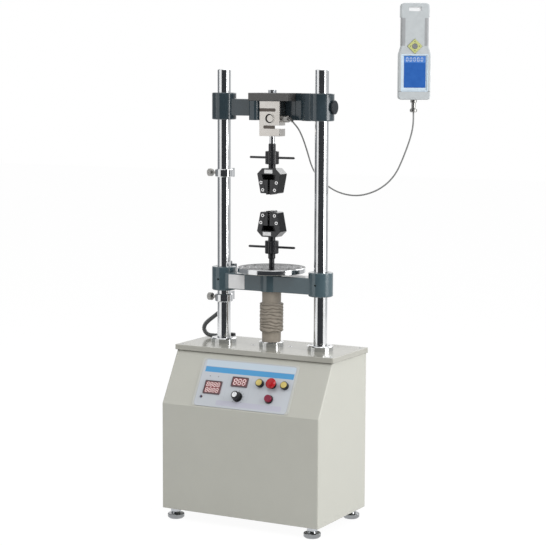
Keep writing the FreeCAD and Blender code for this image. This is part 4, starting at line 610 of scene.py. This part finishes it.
def foldedSleeveTree(name, finish):
    # a cloth sleeve round an upright line: smooth necks, and slanted wandering creases between them
    measures = ("Middle Y", "Low", "High", "Pitch", "Crest", "Valley", "Neck",
                "Slant", "Wander", "Slack", "Seed")
    inputs = {"Line": ("Geometry", None), **{label: ("Float", 0.0) for label in measures},
              "Rows": ("Int", 160), "Sides": ("Int", 96)}
    tree, given = startTree(name, inputs)
    even = addNode(tree, "GeometryNodeResampleCurve", {"mode": "COUNT"},
                   {"Curve": given.outputs["Line"], "Count": given.outputs["Rows"]})
    ring = addNode(tree, "GeometryNodeCurvePrimitiveCircle", {"mode": "RADIUS"},
                   {"Resolution": given.outputs["Sides"], "Radius": 1.0})
    tube = addNode(tree, "GeometryNodeCurveToMesh", None,
                   {"Curve": even.outputs["Curve"], "Profile Curve": ring.outputs["Curve"],
                    "Scale": given.outputs["Neck"], "Fill Caps": True})

    # outward, with no height: the way from the sleeve's middle line to a point
    position = addNode(tree, "GeometryNodeInputPosition")
    spot = addNode(tree, "ShaderNodeSeparateXYZ", None, {"Vector": position.outputs[0]})
    middle = addNode(tree, "ShaderNodeCombineXYZ", None,
                     {"Y": given.outputs["Middle Y"], "Z": spot.outputs["Z"]})
    apart = addNode(tree, "ShaderNodeVectorMath", {"operation": "SUBTRACT"},
                    {0: position.outputs[0], 1: middle.outputs[0]})
    outward = addNode(tree, "ShaderNodeVectorMath", {"operation": "NORMALIZE"}, {0: apart.outputs[0]})
    way = addNode(tree, "ShaderNodeSeparateXYZ", None, {"Vector": outward.outputs[0]})
    raised = addNode(tree, "ShaderNodeCombineXYZ", None,
                     {"X": way.outputs["X"], "Y": way.outputs["Y"], "Z": spot.outputs["Z"]})
    made = {"one": 1.0, "half": 0.5, "halfTurn": math.pi, "slantStart": 0.6, "fullness": 0.42,
            "neckFade": 0.0035, "shadePower": 1.4, "height": spot.outputs["Z"], "outX": way.outputs["X"],
            "outY": way.outputs["Y"], **{label: given.outputs[label] for label in measures}}
    for label, stretch, detail in (("wander", (1.1, 1.1, 55.0), 1.0), ("slack", (2.2, 2.2, 70.0), 2.0)):
        spread = addNode(tree, "ShaderNodeVectorMath", {"operation": "MULTIPLY"},
                         {0: raised.outputs[0], 1: stretch})
        made[label] = addNode(tree, "ShaderNodeTexNoise", {"noise_dimensions": "4D"},
                              {"Vector": spread.outputs[0], "W": made["Seed"], "Scale": 1.0,
                               "Detail": detail}).outputs["Fac"]

    # each step: its label, what it does, and the labels of one or two values
    steps = [
        # how many folds up, with the slant and the wandering
        ("above", "SUBTRACT", "height", "Low"), ("climb", "DIVIDE", "above", "Pitch"),
        ("angle", "ARCTAN2", "outY", "outX"), ("turned", "ADD", "angle", "slantStart"),
        ("swing", "SINE", "turned"), ("tilt", "MULTIPLY", "swing", "Slant"),
        ("wanderOff", "SUBTRACT", "wander", "half"), ("stray", "MULTIPLY", "wanderOff", "Wander"),
        ("tilted", "ADD", "climb", "tilt"), ("foldsUp", "ADD", "tilted", "stray"),
        # full between creases, and sharp in them
        ("phase", "MULTIPLY", "foldsUp", "halfTurn"), ("swell", "SINE", "phase"),
        ("wave", "ABSOLUTE", "swell"), ("full", "POWER", "wave", "fullness"),
        # folds only between the two necks
        ("rising", "DIVIDE", "above", "neckFade"), ("rise", "SMOOTHSTEP", "rising"),
        ("below", "SUBTRACT", "High", "height"), ("falling", "DIVIDE", "below", "neckFade"),
        ("fall", "SMOOTHSTEP", "falling"), ("zone", "MULTIPLY", "rise", "fall"),
        # radius, with some slack in the cloth
        ("depth", "SUBTRACT", "Crest", "Valley"), ("lift", "MULTIPLY", "full", "depth"),
        ("foldRadius", "ADD", "lift", "Valley"), ("past", "SUBTRACT", "foldRadius", "Neck"),
        ("bulge", "MULTIPLY", "past", "zone"), ("slackOff", "SUBTRACT", "slack", "half"),
        ("ease", "MULTIPLY", "slackOff", "Slack"), ("filled", "ADD", "Neck", "bulge"),
        ("radius", "ADD", "filled", "ease"),
        # shade in the creases, for the cloth's colour
        ("hollow", "SUBTRACT", "one", "full"), ("deep", "POWER", "hollow", "shadePower"),
        ("shade", "MULTIPLY", "deep", "zone"),
    ]
    for label, operation, *values in steps:
        values = [made[value] for value in values]
        if operation == "SMOOTHSTEP":
            step = addNode(tree, "ShaderNodeMapRange", {"interpolation_type": operation},
                           {"Value": values[0]})
        else:
            step = addNode(tree, "ShaderNodeMath", {"operation": operation}, dict(enumerate(values)))
        made[label] = step.outputs[0]

    reach = addNode(tree, "ShaderNodeVectorMath", {"operation": "SCALE"},
                    {0: outward.outputs[0], "Scale": made["radius"]})
    moved = addNode(tree, "ShaderNodeVectorMath", {"operation": "ADD"},
                    {0: reach.outputs[0], 1: middle.outputs[0]})
    marked = addNode(tree, "GeometryNodeStoreNamedAttribute", {"data_type": "FLOAT", "domain": "POINT"},
                     {"Geometry": tube.outputs["Mesh"], "Name": "crease", "Value": made["shade"]})
    bent = addNode(tree, "GeometryNodeSetPosition", None,
                   {"Geometry": marked.outputs["Geometry"], "Position": moved.outputs[0]})
    finishTree(tree, bent.outputs["Geometry"], finish)
    return tree


def copiesTree(name, finish):
    # one copy of a pattern on each point, turned and stretched as the point says
    tree, given = startTree(name, {"Points": ("Geometry", None), "Pattern": ("Object", None)})
    pattern = addNode(tree, "GeometryNodeObjectInfo", {"transform_space": "ORIGINAL"},
                      {"Object": given.outputs["Pattern"]})
    turn = addNode(tree, "GeometryNodeInputNamedAttribute", {"data_type": "FLOAT"}, {"Name": "turn"})
    length = addNode(tree, "GeometryNodeInputNamedAttribute", {"data_type": "FLOAT"}, {"Name": "length"})
    spin = addNode(tree, "FunctionNodeAxisAngleToRotation", None,
                   {"Axis": (0, 0, 1), "Angle": turn.outputs["Attribute"]})
    stretch = addNode(tree, "ShaderNodeCombineXYZ", None,
                      {"X": length.outputs["Attribute"], "Y": 1.0, "Z": 1.0})
    copies = addNode(tree, "GeometryNodeInstanceOnPoints", None,
                     {"Points": given.outputs["Points"], "Instance": pattern.outputs["Geometry"],
                      "Rotation": spin.outputs[0], "Scale": stretch.outputs[0]})
    finishTree(tree, copies.outputs["Instances"], finish, smooth=False)
    return tree


def grown(name, source, tree, values):
    # runs a node tree on an object and keeps the plain mesh
    modifier = source.modifiers.new(name, "NODES")
    modifier.node_group = tree
    for item in tree.interface.items_tree:
        if item.item_type == "SOCKET" and item.in_out == "INPUT" and item.name in values:
            modifier[item.identifier] = values[item.name]
    bpy.context.view_layer.update()
    evaluated = source.evaluated_get(bpy.context.evaluated_depsgraph_get())
    mesh = bpy.data.meshes.new_from_object(evaluated)
    mesh.name = name
    source.modifiers.remove(modifier)
    bpy.data.objects.remove(source)
    return meshObject(name, mesh)


def buildConduit():
    hose = {"pitch": 0.0032, "crest": 0.0050, "valley": 0.0040, "sides": 24}
    points = [(-137.0, 69.0, 474.0), (-137.0, 69.0, 464.0), (-140.5, 68.6, 454.0), (-147.5, 67.2, 444.4),
              (-158.5, 64.8, 434.4), (-172.0, 62.4, 424.0), (-184.0, 61.0, 414.0), (-189.2, 60.6, 404.8),
              (-188.9, 61.2, 396.4), (-184.0, 62.6, 389.3), (-177.2, 64.6, 385.9), (-167.0, 67.4, 385.2),
              (-152.0, 69.5, 385.5), (-138.0, 69.5, 385.5)]
    route = routeCurve("conduitRoute", points)
    path = pathOf(route)
    tree = ribbedTubeTree("corrugatedHose", "hosePolyamide")
    conduit = grown("conduitHose", route, tree, {"Pitch": hose["pitch"], "Crest": hose["crest"],
                                                 "Valley": hose["valley"], "Sides": hose["sides"]})
    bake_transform(conduit)
    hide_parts("limit_conduit")
    print("conduit", round(lengthOf(path), 4))


def circleOutline(radius, sides):
    return [(radius * math.cos(a), radius * math.sin(a))
            for a in [math.tau * k / sides for k in range(sides)]]


def loopMesh(name, loops, ring=False, smooth=False):
    # joins loops of places one to the next, and closes them with two end faces or into a ring
    built = bmesh.new()
    loops = [[built.verts.new(spot) for spot in loop] for loop in loops]
    for first, second in list(zip(loops, loops[1:])) + ([(loops[-1], loops[0])] if ring else []):
        for j in range(len(first)):
            k = (j + 1) % len(first)
            built.faces.new((first[j], first[k], second[k], second[j])).smooth = smooth
    if not ring:
        built.faces.new(list(reversed(loops[0])))
        built.faces.new(loops[-1])
    mesh = bpy.data.meshes.new(name)
    built.to_mesh(mesh)
    built.free()
    return mesh


def tubeMesh(name, path, radius, sides):
    # round tube along a path, kept free of twist
    loops = []
    side = None
    for k, spot in enumerate(path):
        ahead = (path[min(k + 1, len(path) - 1)] - path[max(k - 1, 0)]).normalized()
        if side is None:
            side = ahead.orthogonal()
        side = (side - ahead * side.dot(ahead)).normalized()
        other = ahead.cross(side)
        loops.append([spot + (side * x + other * y) * radius for x, y in circleOutline(1.0, sides)])
    return loopMesh(name, loops, smooth=True)


def buildSensorCord():
    cord = {"radius": 0.0017, "sides": 14}
    points = [(50.0, 33.5, 872.0), (55.5, 35.0, 865.5), (62.5, 38.0, 856.0), (69.0, 43.0, 839.0),
              (74.0, 49.5, 818.0), (78.0, 55.5, 797.0), (82.5, 60.0, 777.0), (91.0, 62.5, 760.0),
              (104.0, 63.5, 746.5), (121.0, 63.0, 733.5), (143.0, 61.0, 723.0), (171.0, 59.0, 716.5),
              (199.0, 57.0, 716.2), (226.0, 55.0, 722.5), (251.5, 53.0, 733.8), (274.0, 51.0, 750.5),
              (290.0, 49.5, 770.0), (301.0, 48.5, 791.5), (310.0, 47.5, 812.0), (318.0, 46.5, 831.5),
              (324.5, 45.7, 851.0), (328.0, 45.2, 868.0), (328.9, 45.0, 882.0), (328.5, 45.0, 896.0)]
    route = routeCurve("cordRoute", points)
    path = pathOf(route)
    bpy.data.objects.remove(route)
    tube = tubeMesh("sensorCable", path, cord["radius"], cord["sides"])
    piece = meshObject("sensorCable", tube, "cableJacket")
    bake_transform(piece)
    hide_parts("sensor_cord")
    print("sensor cord", round(lengthOf(path), 4))


def buildBellows():
    sleeve = {"Middle Y": 0.033, "Low": 0.4105, "High": 0.4770, "Pitch": 0.0072, "Crest": 0.0262,
              "Valley": 0.0232, "Neck": 0.0208, "Slant": 0.55, "Wander": 2.4, "Slack": 0.0012, "Seed": 7.0,
              "Rows": 220, "Sides": 120}
    low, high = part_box("bellows")
    ends = [(0, sleeve["Middle Y"] * 1000, z * 1000) for z in (low.z, high.z)]
    line = routeCurve("bellowsLine", ends, "POLY")
    cloth = grown("bellowsFolds", line, foldedSleeveTree("foldedSleeve", "bellowsCloth"), sleeve)
    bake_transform(cloth)
    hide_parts("bellows")
    print("bellows built")


def roundedLoop(width, height, corner, steps=6):
    # a rectangle's outline with round corners, anticlockwise
    loop = []
    for k, (sx, sy) in enumerate(((1, 1), (-1, 1), (-1, -1), (1, -1))):
        for j in range(steps + 1):
            a = math.pi / 2 * (k + j / steps)
            loop.append((sx * (width / 2 - corner) + corner * math.cos(a),
                         sy * (height / 2 - corner) + corner * math.sin(a)))
    return loop


def plateMesh(name, place, plate):
    # thin sheet on a face, with a softened rim and, where given, a window
    width, height = plate["size"]
    u, v, low = plate["spot"]
    high, corner, edge = low + plate["thick"], plate["corner"], min(0.12, plate["thick"] * 0.4)
    rings = [(width, height, corner, low), (width, height, corner, high - edge),
             (width - 2 * edge, height - 2 * edge, max(corner - edge, 0.05), high)]
    if "window" in plate:
        w, h = plate["window"]
        rings += [(w + 2 * edge, h + 2 * edge, plate["windowCorner"] + edge, high),
                  (w, h, plate["windowCorner"], high - edge), (w, h, plate["windowCorner"], low)]
    loops = [[place @ mm(u + x, v + y, z) for x, y in roundedLoop(a, b, c)] for a, b, c, z in rings]
    return loopMesh(name, loops, ring="window" in plate)


def prismObject(name, outline, thick):
    # a flat anticlockwise outline in millimetres, given a thickness
    return meshObject(name, loopMesh(name, [[mm(x, y, z) for x, y in outline] for z in (0, thick)]))


def copiesOf(name, outline, thick, spots, finish, place, body):
    # spots are (u, v, w, turn, length) in the frame's millimetres
    pattern = prismObject(name + "Pattern", outline, thick)
    data = bpy.data.meshes.new(name + "Points")
    data.from_pydata([tuple(mm(*spot[:3])) for spot in spots], [], [])
    for k, label in ((3, "turn"), (4, "length")):
        values = data.attributes.new(label, "FLOAT", "POINT").data
        values.foreach_set("value", [float(spot[k]) for spot in spots])
    points = meshObject(name + "Points", data)
    piece = grown(name, points, copiesTree(name + "Copies", finish), {"Pattern": pattern})
    piece.data.transform(place)
    bpy.data.objects.remove(pattern)
    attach(piece, body)


segmentBars = {"a": (0.5, 1.0, 0), "b": (1.0, 0.75, 1), "c": (1.0, 0.25, 1), "d": (0.5, 0.0, 0),
               "e": (0.0, 0.25, 1), "f": (0.0, 0.75, 1), "g": (0.5, 0.5, 0)}
digitBars = {"8": "abcdefg", "0": "abcdef"}


def litDigits(name, place, digit):
    # rows of seven-segment digits: each lit bar is one pointed bar, stretched to its length
    spots = []
    for low in digit["lows"]:
        for k, character in enumerate(digit["text"]):
            for bar in digitBars[character]:
                x, y, upright = segmentBars[bar]
                u = digit["left"] + k * digit["step"] + x * digit["wide"] + digit["lean"] * (y - 0.5)
                turn = math.pi / 2 if upright else 0.0
                length = (digit["high"] / 2 if upright else digit["wide"]) - digit["gap"]
                spots.append((u, low + y * digit["high"], digit["level"], turn, length))
    half, inner = digit["bar"] / 2, 0.5 - digit["tip"]
    outline = [(-0.5, 0), (-inner, -half), (inner, -half), (0.5, 0), (inner, half), (-inner, half)]
    copiesOf(name, outline, digit["thick"], spots, digit["finish"], place, "stand")


def buildPanelMarks():
    shared = {"level": 2.4, "tip": 0.12, "thick": 0.25, "finish": "redSegments"}
    litDigits("speedDigits", slopePlace,
              {"text": "888", "left": -28.3, "lows": (58.9,), "wide": 6.6, "high": 12.6, "step": 10.6,
               "gap": 0.9, "lean": 0.9, "bar": 1.9, **shared})
    litDigits("timerDigits", slopePlace,
              {"text": "8888", "left": -92.8, "lows": (36.2, 49.2), "wide": 5.6, "high": 9.0, "step": 8.6,
               "gap": 0.8, "lean": 0.6, "bar": 1.6, **shared})
    dial = {"centre": (-10.0, 31.0), "radius": 14.6, "count": 11, "start": math.radians(225),
            "sweep": math.radians(270), "level": 0.98, "long": 2.2}
    ticks = []
    for k in range(dial["count"]):
        a = dial["start"] - dial["sweep"] * k / (dial["count"] - 1)
        u = dial["centre"][0] + dial["radius"] * math.cos(a)
        v = dial["centre"][1] + dial["radius"] * math.sin(a)
        ticks.append((u, v, dial["level"], a, dial["long"]))
    copiesOf("dialTicks", [(-0.5, -0.3), (0.5, -0.3), (0.5, 0.3), (-0.5, 0.3)], 0.07, ticks, "blackInk",
             slopePlace, "stand")
    dots = [(u, 73.0, dial["level"], 0.0, 1.0) for u in (-91.0, -70.0)]
    copiesOf("panelDots", circleOutline(1.0, 16), 0.07, dots, "blackInk", slopePlace, "stand")
    print("panel marks built")


def buildGaugeFace():
    front = 17.0
    plates = {
        "gaugeBezel": ("gaugeFascia", {"spot": (0, 55.5, front - 0.02), "size": (56.0, 77.0), "thick": 0.20,
                                       "corner": 2.2, "window": (52.0, 72.0), "windowCorner": 0.4}),
        "gaugeScreen": ("screenGlass",
                        {"spot": (0.5, 57.7, 15.38), "size": (45.0, 65.4), "thick": 0.5, "corner": 0.8}),
        "gaugeScreenBand": ("screenBand",
                            {"spot": (0.5, 83.2, 15.86), "size": (44.2, 13.6), "thick": 0.08, "corner": 0.6}),
    }
    for name, u in (("gaugeGripLeft", -23.0), ("gaugeGripRight", 23.0)):
        plates[name] = ("gaugeGripAbs", {"spot": (u, 139.5, front - 0.02), "size": (5.9, 57.0), "thick": 0.25,
                                         "corner": 0.8})
    for name, (finish, plate) in plates.items():
        meshObject(name, plateMesh(name, gaugePlace, plate), finish, "stand")
    litDigits("gaugeReading", gaugePlace,
              {"text": "00000", "left": -17.2, "lows": (79.4,), "level": 15.93, "wide": 3.6, "high": 7.2,
               "step": 7.6, "gap": 0.5, "lean": 0.4, "bar": 0.9, "tip": 0.12, "thick": 0.08,
               "finish": "whiteLabel"})
    pad = {"middle": 110.3, "reach": 9.6, "face": 18.18}
    arrows = [(x, pad["middle"] + y, pad["face"], math.atan2(y, x), 1.0)
              for x, y in circleOutline(pad["reach"], 4)]
    copiesOf("gaugeArrows", [(-1.0, -1.3), (1.3, 0.0), (-1.0, 1.3)], 0.10, arrows, "blackInk",
             gaugePlace, "arrow_pad")
    print("gauge face built")


def buildLabels():
    # blank stickers where the real ones carry words
    gripSticker = {"size": (20.0, 8.0), "thick": 0.2, "corner": 0.5}
    labels = {
        "beamLabel": (beamPlace, "lower_crosshead",
                      {"spot": (-76.2, 519.0, -0.03), "size": (40.5, 31.0), "thick": 0.22, "corner": 0.8}),
        "upperGripLabel": (gripPlace, "upper_grip_body", {"spot": (-1.0, 763.8, -0.03), **gripSticker}),
        "lowerGripLabel": (gripPlace, "lower_grip_body", {"spot": (-4.0, 627.8, -0.03), **gripSticker}),
    }
    for name, (place, carrier, plate) in labels.items():
        meshObject(name, plateMesh(name, place, plate), "whiteLabel", nodes[carrier]["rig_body"])
    print("labels built")


def buildCellPotting():
    # resin in the slots of the load cell, and a cover set back in its hole inside a black ring that is
    # painted shade on the hole's wall
    cell = {"front": (0, 20.3, 878.4), "slotEnd": 11.7, "slotLevel": 18.5, "slotHalf": 3.52, "fillBack": -3.0}
    place = Matrix.Translation(mm(*cell["front"])) @ Matrix.Rotation(math.radians(90), 4, "X")
    # the black ring is painted shade, where the hole's wall lies in shadow
    pieces = [("cellSeal", "blackInk", circleOutline(9.97, 48), -7.0, 3.0),
              ("cellCover", "machinedNickel", circleOutline(7.6, 48), -4.1, 1.8)]
    for name, side, far in (("cellPottingUpper", 1, -25.2), ("cellPottingLower", -1, 12.0)):
        end, level, half = cell["slotEnd"] * side, cell["slotLevel"] * side, cell["slotHalf"]
        roundEnd = [(end + side * half * math.cos(a), level + half * math.sin(a))
                    for a in [math.pi / 2 - math.pi * k / 12 for k in range(13)]]
        outline = roundEnd + [(far, level - half), (far, level + half)]
        pieces.append((name, "pottingResin", outline[::-side], cell["fillBack"], 2.0))
    for name, finish, outline, back, thick in pieces:
        piece = prismObject(name, outline, thick)
        piece.data.transform(place @ Matrix.Translation(mm(0, 0, back)))
        piece.data.materials.append(finishes[finish])
        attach(piece, nodes["load_cell"]["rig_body"])
    print("cell potting built")


buildConduit()
buildSensorCord()
buildBellows()
buildPanelMarks()
buildGaugeFace()
buildLabels()
buildCellPotting()
